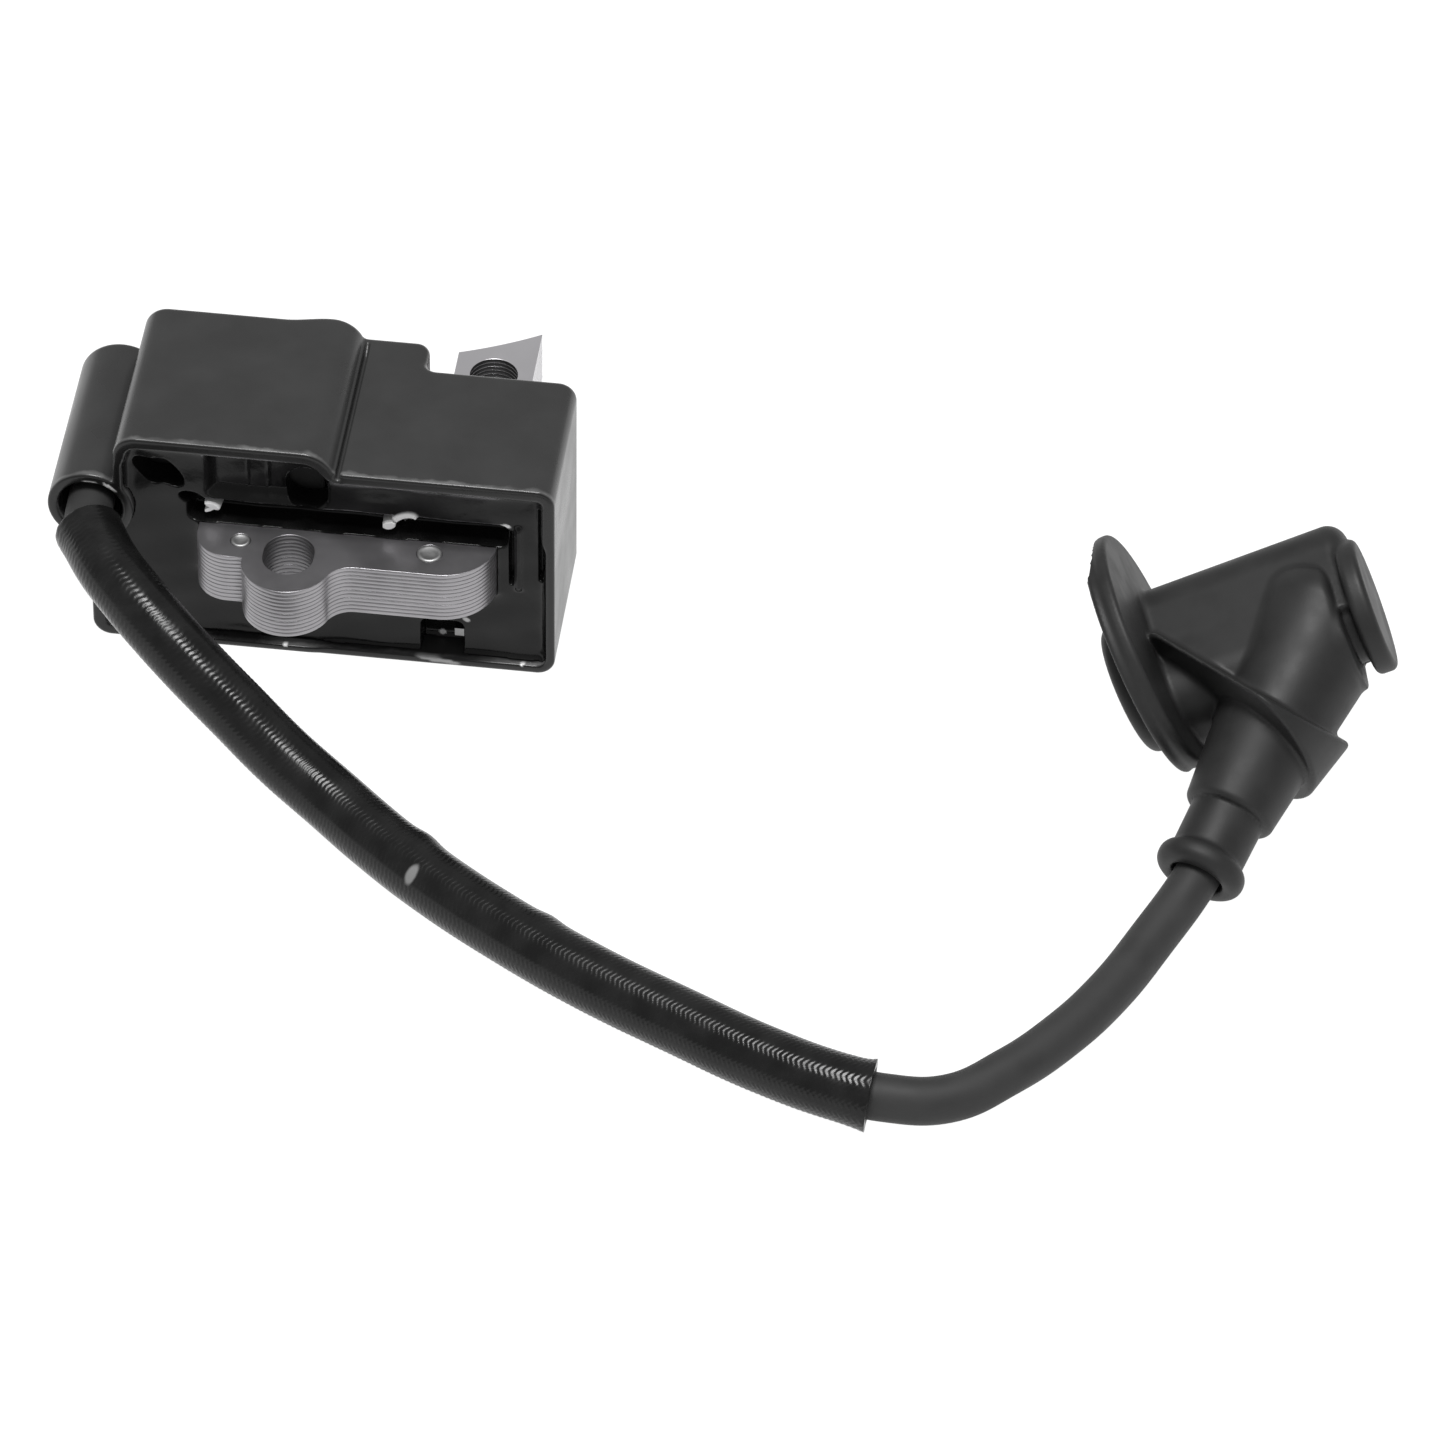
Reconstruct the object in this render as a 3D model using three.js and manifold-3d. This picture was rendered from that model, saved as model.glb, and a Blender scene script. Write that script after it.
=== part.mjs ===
// Ignition coil of a small two-stroke engine: a potted coil module on a laminated core,
// with its high-tension lead, the lead's protective sleeve and the rubber spark plug boot.
// Millimetres, +Z up. The module stands on z = 0 and its own box is centred on x = y = 0.
import * as THREE from "three";
import { mergeVertices } from "three/addons/utils/BufferGeometryUtils.js";
import Module from "manifold-3d";

const wasm = await Module();
wasm.setup();

// ---------------------------------------------------------------- sizes: housing
// Module coordinates start at the housing's left, front, bottom corner.
const bodyWidth = 50.1;
const bodyHeight = 25.8;
const bodyDepth = 18.5;
const shoulderRight = 33.7; // the part behind the hump that is deeper than the body ends here
const shoulderDepth = 22.9;
const humpLeft = 2.85;
const humpRight = 26.7;
const humpHeight = 28.2;
const humpDepth = 22.2;
const humpCorner = 2.6;
const humpRun = 5.3; // how far the hump's right side runs down to the body's top
const cornerRadius = 2;
const innerCorner = 1;
const wall = 1.4;
const leadDiameter = 5;
const bossZ = 18;
const bossWall = 1.1;
const bossBoreSlack = 1; // room around the lead in the boss
const bossBoreDepth = 15.5;
const spikeRadius = 0.7;
const spikeLength = 3.2;
const footThickness = 1;

// ---------------------------------------------------------------- sizes: core
const sheetCount = 12;
const sheetThickness = 0.5;
const sheetGap = 0.03;
const coreTop = 16.5;
const yokeLeft = 11.8;
const yokeToBodySide = 6.3;
const yokeFront = -4;
const yokeBack = 4.3;
const yokeLeftCorner = 3.6;
const yokeRightCorner = 5.8;
const coilLegWidth = 6.3;
const poleLegWidth = 8.6;
const lugX = 22;
const lugRadius = 4.85;
const lugFillet = 3;
const slotWidth = 5.4;
const slotLength = 6.3;
const slotY = -2.85;
const rearHoleRadius = 2.6;
const rearHoleY = 29.1;
const flywheelX = 19.6; // the pole faces lie on the flywheel's circle
const flywheelY = 75.6;
const flywheelRadius = 46;
const rivetRadius = 1.2;
const rivetHeadRise = 0.08;
const rivetPlaces = [[16.6, -1.3], [36.8, -0.7]];

// ---------------------------------------------------------------- sizes: potting and coils
const snug = 0.05; // gap kept between pieces that touch
const overrun = 1; // how far a cutting tool runs past the face it opens
const resinRecess = 1.3;
const resinPlug = 3; // thickness of the resin in front of the coils
const mouthToHump = 1.7; // from the hump's right side
const mouthBottom = 18.4;
const bobbinWall = 0.9;
const flangeThickness = 0.9;
const primaryThickness = 1.6;
const secondaryThickness = 2.6;
const chamberCount = 4;
const coilCorner = 1.2;
const tabWidth = 8;
const tabRise = 2.2;
const chargeThickness = 1.3;
const chargeLength = 9;
const spacer = 0.3;

// ---------------------------------------------------------------- sizes: circuit
const boardDepth = 12;
const boardThickness = 1;
const boardToLeg = 7.2; // from the pole leg's left side to the board's left edge
const boardToWall = 0.6;
const boardToSide = 0.7;
const stopPocketToSide = 9.1;
const stopPocketWidth = 4.4;
const stopPocketHeight = 4.4;
const stopPocketDepth = 2.2;
const stopPinSize = 1;
const strapWidth = 2;
const strapThickness = 0.4;
const strapToSide = 2.6;
const strapFoot = 2;
const stopPinIn = 2; // how far the stop pin runs in over the board
const capacitorSize = [9, 5, 3.4]; // width, depth and height
const thyristorSize = [4.5, 3.6, 3.2];
const diodeSize = [4.5, 1.8, 1.8];
const resistorSize = [4, 1.6, 1.2];
const partMargin = 1; // from a part on the board to the board's edge
const diodePitch = 2.6;
const resistorBack = 3; // from the board's front edge

// ---------------------------------------------------------------- sizes: lead and boot
const leadSteps = 48;
const sleeveSlack = 0.45; // between the lead and the sleeve
const sleeveWall = 0.55;
const sleeveStart = 16.5; // distances along the lead's route
const sleeveEnd = 127.5;
const discRadius = 13.4;
const discThickness = 2;
const discRise = 3; // the flange is this much off the plug's axis
const barrelRadius = 7.6;
const barrelReach = 4;
const barrelRound = 1.4;
const headRadius = 8.6;
const headEndRadius = 9.2;
const headLength = 21.5;
const headRound = 1.6;
const capRadius = 7.2;
const capLength = 3.2;
const capGroove = 1;
const socketRadius = 5.2;
const socketDepth = 19;
const neckWall = 1.6;
const neckLength = 7;
const collarRise = 0.85; // how far the collar stands out from the neck
const collarLength = 2.6;
const stemStep = 0.8;
const stemSpread = 2.5;
const stemTaper = 0.75; // the share of the stem that widens
const skirtRadius = 11.5;
const skirtThickness = 1.6;
const skirtDrop = 10; // the skirt's centre from the elbow, back along the stem
const skirtSet = 3; // and back along the plug's axis
const leadGrip = 16; // the depth of the lead's hole in the boot
const leadHoleSlack = 0.4; // room around the lead in that hole
const springRadius = 3.3;
const springWire = 0.9;
const springPitch = 1.5;
const springTurns = 4;
const elbow = new THREE.Vector3(107.5, -12.95, 16.1);
const elbowToDisc = 17.7;
const collarPoint = new THREE.Vector3(98.7, -40.35, 5);
const neckPoint = new THREE.Vector3(101, -33.95, 7.4);
const plugHeading = 14; // the plug's axis from +X, and its rise, in degrees
const plugRise = 20.5;

// The lead's centreline, from inside the boss to the end of its hole in the boot.
const mouthPoint = 2; // the route's point in the boss's mouth
const leadRoute = [
  [-22.65, -0.9, 18], [-22.65, -7, 18], [-22.65, -13.82, 18], [-22.4, -16.6, 18],
  [-21.2, -19, 17.9], [-19, -22.6, 17.7], [-16.5, -25.5, 17.1], [-13.9, -28, 16.1],
  [-8.8, -31.7, 13.3], [-3.6, -34.7, 10.1], [1.6, -37.6, 6.9], [7.2, -41, 4.7],
  [12.9, -45.6, 3.8], [19, -50.6, 3.6], [28.4, -57.3, 3.6], [37.9, -63.1, 3.6],
  [47.5, -68, 3.6], [57.1, -72.6, 3.6], [65, -75.4, 3.6], [69.6, -76, 3.3],
  [76, -74.6, 2.6], [81.7, -69.9, 2.6], [86.6, -64, 2.6], [90.8, -57.1, 2.6],
  [94.6, -49, 3.1], [98.7, -40.35, 5], [101, -33.95, 7.4], [103.6, -26.7, 10.1],
];

// ---------------------------------------------------------------- derived places
const yokeRight = bodyWidth - yokeToBodySide;
const primaryInner = spacer + bobbinWall + snug; // the coils' reaches, all from the leg's face
const primaryOuter = primaryInner + primaryThickness;
const secondaryTube = primaryOuter + spacer;
const secondaryInner = secondaryTube + bobbinWall + snug;
const secondaryOuter = secondaryInner + secondaryThickness;
const secondaryLeft = yokeLeft - secondaryOuter;
const bossBoreRadius = leadDiameter / 2 + bossBoreSlack;
const bossRadius = bossBoreRadius + bossWall;
const bossX = secondaryLeft - spacer - bossRadius;
const sleeveBore = leadDiameter / 2 + sleeveSlack;
const neckRadius = leadDiameter / 2 + neckWall;
const collarRadius = neckRadius + collarRise;
const stemRadius = neckRadius + stemStep;
const stemEndRadius = stemRadius + stemSpread;
const sheetPitch = sheetThickness + sheetGap;
const stackHeight = sheetCount * sheetPitch - sheetGap;
const coreBottom = coreTop - stackHeight;
const coreMiddle = coreTop - stackHeight / 2;
const coilLegRight = yokeLeft + coilLegWidth;
const poleLegLeft = yokeRight - poleLegWidth;
const rearHoleX = yokeRight - poleLegWidth / 2;
const boardX = poleLegLeft - boardToLeg;
const boardRight = bodyWidth - wall - boardToSide;
const boardZ = wall + boardToWall;
const stopPocketX = bodyWidth - wall - stopPocketToSide - stopPocketWidth / 2;
const coilX = yokeLeft + coilLegWidth / 2;
const lugFront = yokeFront - lugRadius;
const resinBack = resinRecess + resinPlug;
const coilFront = yokeBack + spacer;
const coilBack = humpDepth - wall - spacer;
const poleTip = flywheelY - Math.sqrt(flywheelRadius ** 2 - (yokeRight - flywheelX) ** 2);
const moduleLeft = bossX - bossRadius;
const moduleCentreX = (moduleLeft + bodyWidth) / 2;
const moduleCentreY = (lugFront + poleTip) / 2;

// ---------------------------------------------------------------- materials
const material = (color, roughness, metalness = 0) =>
  new THREE.MeshStandardMaterial({ color, roughness, metalness });
const blackPlastic = material(0x2a2a2b, 0.5);
const resin = material(0x121213, 0.15);
const coreSteel = material(0x8a8889, 0.45, 0.9);
const rivetSteel = material(0x9a9a9a, 0.4, 0.9);
const bobbinPlastic = material(0x3a3a3a, 0.6);
const copper = material(0xb4683a, 0.35, 1);
const brass = material(0xb9974c, 0.35, 1);
const tinned = material(0xc9c9c6, 0.3, 1);
const boardGreen = material(0x24523a, 0.6);
const partBlack = material(0x191919, 0.5);
const filmBrown = material(0x7a3b1e, 0.45);
const leadRubber = material(0x2b2b2c, 0.7);
const sleeveFibre = material(0x151515, 0.4);
const bootRubber = material(0x262627, 0.65);
const springSteel = material(0xa8a8a6, 0.3, 1);

// ---------------------------------------------------------------- helpers
const root = new THREE.Group();
const moduleGroup = new THREE.Group();
moduleGroup.position.set(-moduleCentreX, -moduleCentreY, 0);
root.add(moduleGroup);

// The lead and the boot hang on the boss: the route's mouth point always lies in its mouth.
const leadGroup = new THREE.Group();
const [mouthX, mouthY, mouthZ] = leadRoute[mouthPoint];
leadGroup.position.set(
  bossX - moduleCentreX - mouthX,
  -moduleCentreY - mouthY,
  bossZ - mouthZ,
);
root.add(leadGroup);

function add(parent, name, geometry, look) {
  const mesh = new THREE.Mesh(geometry, look);
  mesh.name = name;
  parent.add(mesh);
  return mesh;
}

// A closed three.js geometry as a manifold solid.
function toSolid(geometry) {
  const bare = geometry.index ? geometry.toNonIndexed() : geometry.clone();
  bare.deleteAttribute("normal");
  bare.deleteAttribute("uv");
  const merged = mergeVertices(bare, 1e-5);
  const index = merged.index.array;
  const kept = [];
  for (let i = 0; i < index.length; i += 3) {
    const [a, b, c] = [index[i], index[i + 1], index[i + 2]];
    if (a !== b && b !== c && c !== a) kept.push(a, b, c);
  }
  return new wasm.Manifold(new wasm.Mesh({
    numProp: 3,
    vertProperties: new Float32Array(merged.attributes.position.array),
    triVerts: new Uint32Array(kept),
  }));
}

function toGeometry(solid) {
  const mesh = solid.getMesh();
  const geometry = new THREE.BufferGeometry();
  geometry.setAttribute("position", new THREE.BufferAttribute(mesh.vertProperties, 3));
  geometry.setIndex(new THREE.BufferAttribute(mesh.triVerts, 1));
  geometry.computeVertexNormals();
  return geometry;
}

const join = (pieces) => wasm.Manifold.union(pieces);
const cut = (solid, tools) => solid.subtract(join(tools));

function rectangle(left, right, bottom, top, radius = 0) {
  const shape = new THREE.Shape();
  shape.moveTo(left + radius, bottom);
  shape.lineTo(right - radius, bottom);
  if (radius) shape.absarc(right - radius, bottom + radius, radius, -Math.PI / 2, 0);
  shape.lineTo(right, top - radius);
  if (radius) shape.absarc(right - radius, top - radius, radius, 0, Math.PI / 2);
  shape.lineTo(left + radius, top);
  if (radius) shape.absarc(left + radius, top - radius, radius, Math.PI / 2, Math.PI);
  shape.lineTo(left, bottom + radius);
  if (radius) shape.absarc(left + radius, bottom + radius, radius, Math.PI, Math.PI * 1.5);
  return shape;
}

function circle(x, y, radius) {
  return new THREE.Shape().absarc(x, y, radius, 0, Math.PI * 2);
}

// A shape drawn in x and z, carried along +Y from one y to another.
function alongY(shape, from, to, curveSegments = 6) {
  const geometry = new THREE.ExtrudeGeometry(shape, {
    depth: to - from, bevelEnabled: false, curveSegments,
  });
  return geometry.rotateX(Math.PI / 2).translate(0, to, 0);
}

// A shape drawn in x and y, carried along +Z.
function alongZ(shape, from, to, curveSegments = 6) {
  const geometry = new THREE.ExtrudeGeometry(shape, {
    depth: to - from, bevelEnabled: false, curveSegments,
  });
  return geometry.translate(0, 0, from);
}

function block(left, right, front, back, bottom, top) {
  return new THREE.BoxGeometry(right - left, back - front, top - bottom)
    .translate((left + right) / 2, (front + back) / 2, (bottom + top) / 2);
}

// A profile of [radius, height] pairs turned about Z.
function turned(profile, segments = 24) {
  const points = profile.map(([radius, height]) => new THREE.Vector2(radius, height));
  return new THREE.LatheGeometry(points, segments).rotateX(Math.PI / 2);
}

// ---------------------------------------------------------------- housing
// The hump's outline: a round left shoulder and a long run down on the right.
function humpOutline(inset) {
  const left = humpLeft + inset;
  const right = humpRight - inset;
  const top = humpHeight - inset;
  const low = bodyHeight - inset;
  const bottom = cornerRadius + inset;
  const corner = humpCorner - inset / 2;
  const run = humpRun;
  const shape = new THREE.Shape();
  shape.moveTo(left, bottom);
  shape.lineTo(right, bottom);
  shape.lineTo(right, low - cornerRadius);
  shape.bezierCurveTo(right, low + cornerRadius / 2, right - run / 2, top, right - run, top);
  shape.lineTo(left + corner, top);
  shape.absarc(left + corner, top - corner, corner, Math.PI / 2, Math.PI);
  return shape;
}

// The housing's bulk, drawn in from its outside by inset, from one y to its back walls.
function bulk(inset, front) {
  const low = bossZ - inset;
  const corner = inset > 0 ? innerCorner : cornerRadius;
  const parts = [
    alongY(rectangle(inset, bodyWidth - inset, inset, low, corner), front, bodyDepth - inset),
    alongY(rectangle(humpLeft + inset, bodyWidth - inset, inset, bodyHeight - inset, corner),
      front, bodyDepth - inset),
    alongY(rectangle(inset, humpRight, inset, low, corner), front, humpDepth - inset),
    alongY(rectangle(humpLeft + inset, shoulderRight - inset, inset, bodyHeight - inset, corner),
      front, shoulderDepth - inset),
    alongY(humpOutline(inset), front, humpDepth - inset),
  ];
  return join(parts.map(toSolid));
}

function boss(radius, front, back) {
  return toSolid(alongY(circle(bossX, bossZ, radius), front, back, 14));
}

// The core's two legs as plain bars, larger by a clearance, for the holes they pass through.
function legBars(clearance) {
  const [bottom, top] = [coreBottom - clearance, coreTop + clearance];
  return [
    [yokeLeft - clearance, coilLegRight + clearance],
    [poleLegLeft - clearance, yokeRight + clearance],
  ].map(([left, right]) => toSolid(block(left, right, yokeBack, shoulderDepth + wall, bottom, top)));
}

function cavity(clearance, front) {
  return bulk(wall + clearance, front)
    .subtract(boss(bossRadius + clearance, front - overrun, humpDepth));
}

function housing() {
  const outside = join([bulk(0, 0), boss(bossRadius, 0, humpDepth)]);
  const hollow = cavity(0, -overrun);
  const bore = boss(bossBoreRadius, -overrun, bossBoreDepth);
  const spikeHole = htTerminalSolid(snug);
  return cut(outside, [hollow, bore, spikeHole, ...legBars(snug)]);
}

// ---------------------------------------------------------------- core
// One sheet's outline: lug and yoke in front, a leg through the coils and a pole leg.
function sheetOutline() {
  const poleY = (x) => flywheelY - Math.sqrt(flywheelRadius ** 2 - (x - flywheelX) ** 2);
  const angleAt = (x) => Math.atan2(poleY(x) - flywheelY, x - flywheelX);
  const filletX = lugX + Math.sqrt((lugRadius + lugFillet) ** 2 - lugFillet ** 2);
  const touch = Math.atan2(-lugFillet, filletX - lugX);
  const shape = new THREE.Shape();
  shape.moveTo(yokeLeft, poleY(yokeLeft));
  shape.lineTo(yokeLeft, yokeFront + yokeLeftCorner);
  shape.absarc(yokeLeft + yokeLeftCorner, yokeFront + yokeLeftCorner, yokeLeftCorner,
    Math.PI, Math.PI * 1.5);
  shape.lineTo(lugX - lugRadius, yokeFront);
  shape.absarc(lugX, yokeFront, lugRadius, Math.PI, Math.PI * 2 + touch);
  shape.absarc(filletX, yokeFront - lugFillet, lugFillet, Math.PI + touch, Math.PI / 2, true);
  shape.lineTo(yokeRight - yokeRightCorner, yokeFront);
  shape.absarc(yokeRight - yokeRightCorner, yokeFront + yokeRightCorner, yokeRightCorner,
    Math.PI * 1.5, Math.PI * 2);
  shape.lineTo(yokeRight, poleY(yokeRight));
  shape.absarc(flywheelX, flywheelY, flywheelRadius, angleAt(yokeRight), angleAt(poleLegLeft), true);
  shape.lineTo(poleLegLeft, yokeBack);
  shape.lineTo(coilLegRight, yokeBack);
  shape.absarc(flywheelX, flywheelY, flywheelRadius, angleAt(coilLegRight), angleAt(yokeLeft), true);
  return shape;
}

function sheetGeometry() {
  const shape = sheetOutline();
  const half = (slotLength - slotWidth) / 2;
  const slot = new THREE.Path();
  slot.absarc(lugX, slotY + half, slotWidth / 2, 0, Math.PI);
  slot.absarc(lugX, slotY - half, slotWidth / 2, Math.PI, Math.PI * 2);
  const rearHole = new THREE.Path().absarc(rearHoleX, rearHoleY, rearHoleRadius, 0, Math.PI * 2);
  shape.holes.push(slot, rearHole);
  for (const [x, y] of rivetPlaces) {
    shape.holes.push(new THREE.Path().absarc(x, y, rivetRadius + snug, 0, Math.PI * 2));
  }
  return alongZ(shape, 0, sheetThickness, 5);
}

function addCore() {
  for (let i = 0; i < sheetCount; i += 1) {
    const name = `core_lamination_${String(i + 1).padStart(2, "0")}`;
    const sheet = add(moduleGroup, name, sheetGeometry(), coreSteel);
    sheet.position.z = coreBottom + i * sheetPitch;
  }
  rivetPlaces.forEach(([x, y], i) => {
    const rivet = alongZ(circle(x, y, rivetRadius), coreBottom - rivetHeadRise,
      coreTop + rivetHeadRise, 8);
    add(moduleGroup, `core_rivet_${i + 1}`, rivet, rivetSteel);
  });
}

// ---------------------------------------------------------------- coils
// A rectangular ring around a leg, drawn in x and z: reach is how far it stands off the leg.
function ring(centreX, legWidth, innerReach, outerReach, from, to) {
  const around = (reach) => rectangle(
    centreX - legWidth / 2 - reach, centreX + legWidth / 2 + reach,
    coreBottom - reach, coreTop + reach, Math.min(reach, coilCorner));
  const shape = around(outerReach);
  shape.holes.push(around(innerReach));
  return alongY(shape, from, to, 3);
}

function bobbin(centreX, legWidth, reach, flangeReach, from, to, flangeStarts) {
  const tube = toSolid(ring(centreX, legWidth, reach, reach + bobbinWall, from, to));
  const flanges = flangeStarts.map((y) =>
    toSolid(ring(centreX, legWidth, reach, flangeReach, y, y + flangeThickness)));
  return join([tube, ...flanges]);
}

function addIgnitionCoil() {
  const ends = [coilFront, coilBack - flangeThickness];
  const primaryBobbin = bobbin(coilX, coilLegWidth, spacer, primaryOuter, coilFront, coilBack, ends);
  add(moduleGroup, "primary_bobbin", toGeometry(primaryBobbin), bobbinPlastic);
  const primary = ring(coilX, coilLegWidth, primaryInner, primaryOuter,
    coilFront + flangeThickness + snug, coilBack - flangeThickness - snug);
  add(moduleGroup, "primary_winding", primary, copper);

  const pitch = (coilBack - coilFront - flangeThickness) / chamberCount;
  const starts = Array.from({ length: chamberCount + 1 }, (_, i) => coilFront + i * pitch);
  const spool = bobbin(coilX, coilLegWidth, secondaryTube, secondaryOuter, coilFront, coilBack, starts);
  const tab = toSolid(block(coilX - tabWidth / 2, coilX + tabWidth / 2,
    coilFront, coilFront + flangeThickness,
    coreTop + secondaryOuter - snug, coreTop + secondaryOuter + tabRise));
  add(moduleGroup, "secondary_bobbin", toGeometry(join([spool, tab])), bobbinPlastic);
  for (let i = 0; i < chamberCount; i += 1) {
    const chamber = ring(coilX, coilLegWidth, secondaryInner, secondaryOuter - spacer,
      starts[i] + flangeThickness + snug, starts[i + 1] - snug);
    add(moduleGroup, `secondary_winding_${i + 1}`, chamber, copper);
  }
}

function addChargeCoil() {
  const centreX = rearHoleX;
  const back = coilFront + chargeLength;
  const inner = spacer + bobbinWall + snug;
  const outer = inner + chargeThickness;
  const spool = bobbin(centreX, poleLegWidth, spacer, outer + spacer, coilFront, back,
    [coilFront, back - flangeThickness]);
  add(moduleGroup, "charge_bobbin", toGeometry(spool), bobbinPlastic);
  const winding = ring(centreX, poleLegWidth, inner, outer,
    coilFront + flangeThickness + snug, back - flangeThickness - snug);
  add(moduleGroup, "charge_winding", winding, copper);
}

// The spike that the lead is pushed onto, with a foot that reaches towards the secondary.
function htTerminalSolid(clearance) {
  const footHalf = footThickness / 2;
  const spike = turned([
    [0, -clearance], [spikeRadius + clearance, -clearance],
    [spikeRadius + clearance, spikeLength / 2], [0, spikeLength + clearance],
  ], 12);
  spike.rotateX(Math.PI / 2).translate(bossX, bossBoreDepth + footHalf * 2, bossZ);
  const foot = block(
    bossX - footHalf - clearance, secondaryLeft - spacer + clearance,
    bossBoreDepth + footHalf - clearance, bossBoreDepth + footHalf * 3 + clearance,
    bossZ - footHalf - clearance, bossZ + footHalf + clearance);
  return join([toSolid(spike), toSolid(foot)]);
}

// ---------------------------------------------------------------- resin
function pottingResin() {
  const far = shoulderDepth + wall;
  const frontPocket = resinBack;
  const coilReach = secondaryOuter + spacer;
  const chargeReach = spacer * 3 + bobbinWall + chargeThickness;
  const yoke = toSolid(alongZ(sheetOutline(), coreBottom - snug, coreTop + snug, 5));
  const yokeRoom = toSolid(block(yokeLeft - snug, yokeRight + snug, yokeFront, coilFront,
    coreBottom - snug, coreTop + snug));
  const coilRoom = toSolid(block(coilX - coilLegWidth / 2 - coilReach, coilX + coilLegWidth / 2 + coilReach,
    frontPocket, far, coreBottom - coilReach, humpHeight));
  const chargeRoom = toSolid(block(poleLegLeft - chargeReach, yokeRight + chargeReach, frontPocket, far,
    coreBottom - chargeReach, coreTop + chargeReach));
  const boardRoom = toSolid(block(boardX - spacer, bodyWidth, frontPocket, far,
    boardZ - spacer, coreBottom - chargeReach + snug));
  const mouth = toSolid(block(humpLeft, humpRight - mouthToHump, 0, far, mouthBottom, humpHeight));
  const stopPocket = toSolid(alongY(
    rectangle(stopPocketX, stopPocketX + stopPocketWidth, boardZ - spacer,
      boardZ - spacer + stopPocketHeight, innerCorner), 0, resinRecess + stopPocketDepth));
  const foot = htTerminalSolid(snug);
  const pinHole = toSolid(stopTerminal(snug));
  return cut(cavity(snug, resinRecess),
    [yoke, yokeRoom, coilRoom, chargeRoom, boardRoom, mouth, stopPocket, foot, pinHole]);
}

// ---------------------------------------------------------------- circuit
const boardTop = boardZ + boardThickness;
const boardFront = resinBack + spacer;

function stopTerminal(clearance) {
  const x = stopPocketX + stopPocketWidth / 2;
  const half = stopPinSize / 2 + clearance;
  const bottom = boardTop + snug - clearance;
  return block(x - half, x + half, resinRecess + spacer, boardFront + stopPinIn + clearance,
    bottom, bottom + stopPinSize + clearance * 2);
}

// A part on the board, by its left front corner.
function onBoard(name, x, y, [width, depth, height], look) {
  const shape = rectangle(x, x + width, y, y + depth, Math.min(width, depth) / 5);
  add(moduleGroup, name, alongZ(shape, boardTop + snug, boardTop + snug + height, 3), look);
}

function addCircuit() {
  const left = boardX + partMargin;
  const right = boardRight - partMargin;
  const front = boardFront + partMargin;
  const back = boardFront + boardDepth - partMargin;
  const board = block(boardX, boardRight, boardFront, boardFront + boardDepth, boardZ, boardTop);
  add(moduleGroup, "circuit_board", board, boardGreen);
  onBoard("capacitor", left, back - capacitorSize[1], capacitorSize, filmBrown);
  onBoard("thyristor", right - thyristorSize[0], back - thyristorSize[1], thyristorSize, partBlack);
  onBoard("diode_1", left, front, diodeSize, partBlack);
  onBoard("diode_2", left, front + diodePitch, diodeSize, partBlack);
  onBoard("resistor", right - resistorSize[0], boardFront + resistorBack, resistorSize, filmBrown);
  add(moduleGroup, "stop_terminal", stopTerminal(0), tinned);
}

// A copper strip that stands on the board and presses on the core's underside.
function addGroundStrap() {
  const x = yokeRight - strapToSide - strapWidth;
  const front = coilFront + chargeLength + spacer;
  const rise = block(x, x + strapWidth, front, front + strapThickness, boardTop + snug, coreBottom - snug);
  const foot = block(x, x + strapWidth, front, front + strapFoot,
    boardTop + snug, boardTop + snug + strapThickness);
  add(moduleGroup, "ground_strap", toGeometry(join([toSolid(rise), toSolid(foot)])), copper);
}

// ---------------------------------------------------------------- lead and sleeve
const leadCurve = new THREE.CatmullRomCurve3(leadRoute.map((p) => new THREE.Vector3(...p)));

// The stretch of the lead's route between two distances along it.
function stretch(from, to, count = 24) {
  const length = leadCurve.getLength();
  const points = Array.from({ length: count + 1 }, (_, i) =>
    leadCurve.getPointAt((from + ((to - from) * i) / count) / length));
  return new THREE.CatmullRomCurve3(points);
}

function polygon(radius, sides) {
  return Array.from({ length: sides }, (_, i) => {
    const angle = (i / sides) * Math.PI * 2;
    return new THREE.Vector2(Math.cos(angle) * radius, Math.sin(angle) * radius);
  });
}

function tube(path, radius, steps, innerRadius = 0, sides = 12) {
  const section = new THREE.Shape(polygon(radius, sides));
  if (innerRadius) section.holes.push(new THREE.Path(polygon(innerRadius, sides).reverse()));
  return new THREE.ExtrudeGeometry(section, { extrudePath: path, steps, bevelEnabled: false });
}

function addLead() {
  add(leadGroup, "ignition_lead", tube(leadCurve, leadDiameter / 2, leadSteps), leadRubber);
  const sleeve = tube(stretch(sleeveStart, sleeveEnd), sleeveBore + sleeveWall, 26, sleeveBore);
  add(leadGroup, "protective_sleeve", sleeve, sleeveFibre);
}

// ---------------------------------------------------------------- boot
const degrees = Math.PI / 180;
const plugAxis = new THREE.Vector3(
  Math.cos(plugHeading * degrees) * Math.cos(plugRise * degrees),
  Math.sin(plugHeading * degrees) * Math.cos(plugRise * degrees),
  Math.sin(plugRise * degrees),
);
const discPoint = elbow.clone().addScaledVector(plugAxis, -elbowToDisc);

// Turns a geometry drawn about +Z so that +Z points along an axis, and moves it to a point.
// Its +Y ends up as near to straight up as the axis allows.
function place(geometry, point, axis) {
  const side = new THREE.Vector3(0, 0, 1).cross(axis).normalize();
  const up = axis.clone().cross(side);
  const matrix = new THREE.Matrix4().makeBasis(side, up, axis).setPosition(point);
  return geometry.applyMatrix4(matrix);
}

function turnedBetween(profile, from, to, segments) {
  const axis = to.clone().sub(from).normalize();
  return toSolid(place(turned(profile, segments), from, axis));
}

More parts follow.
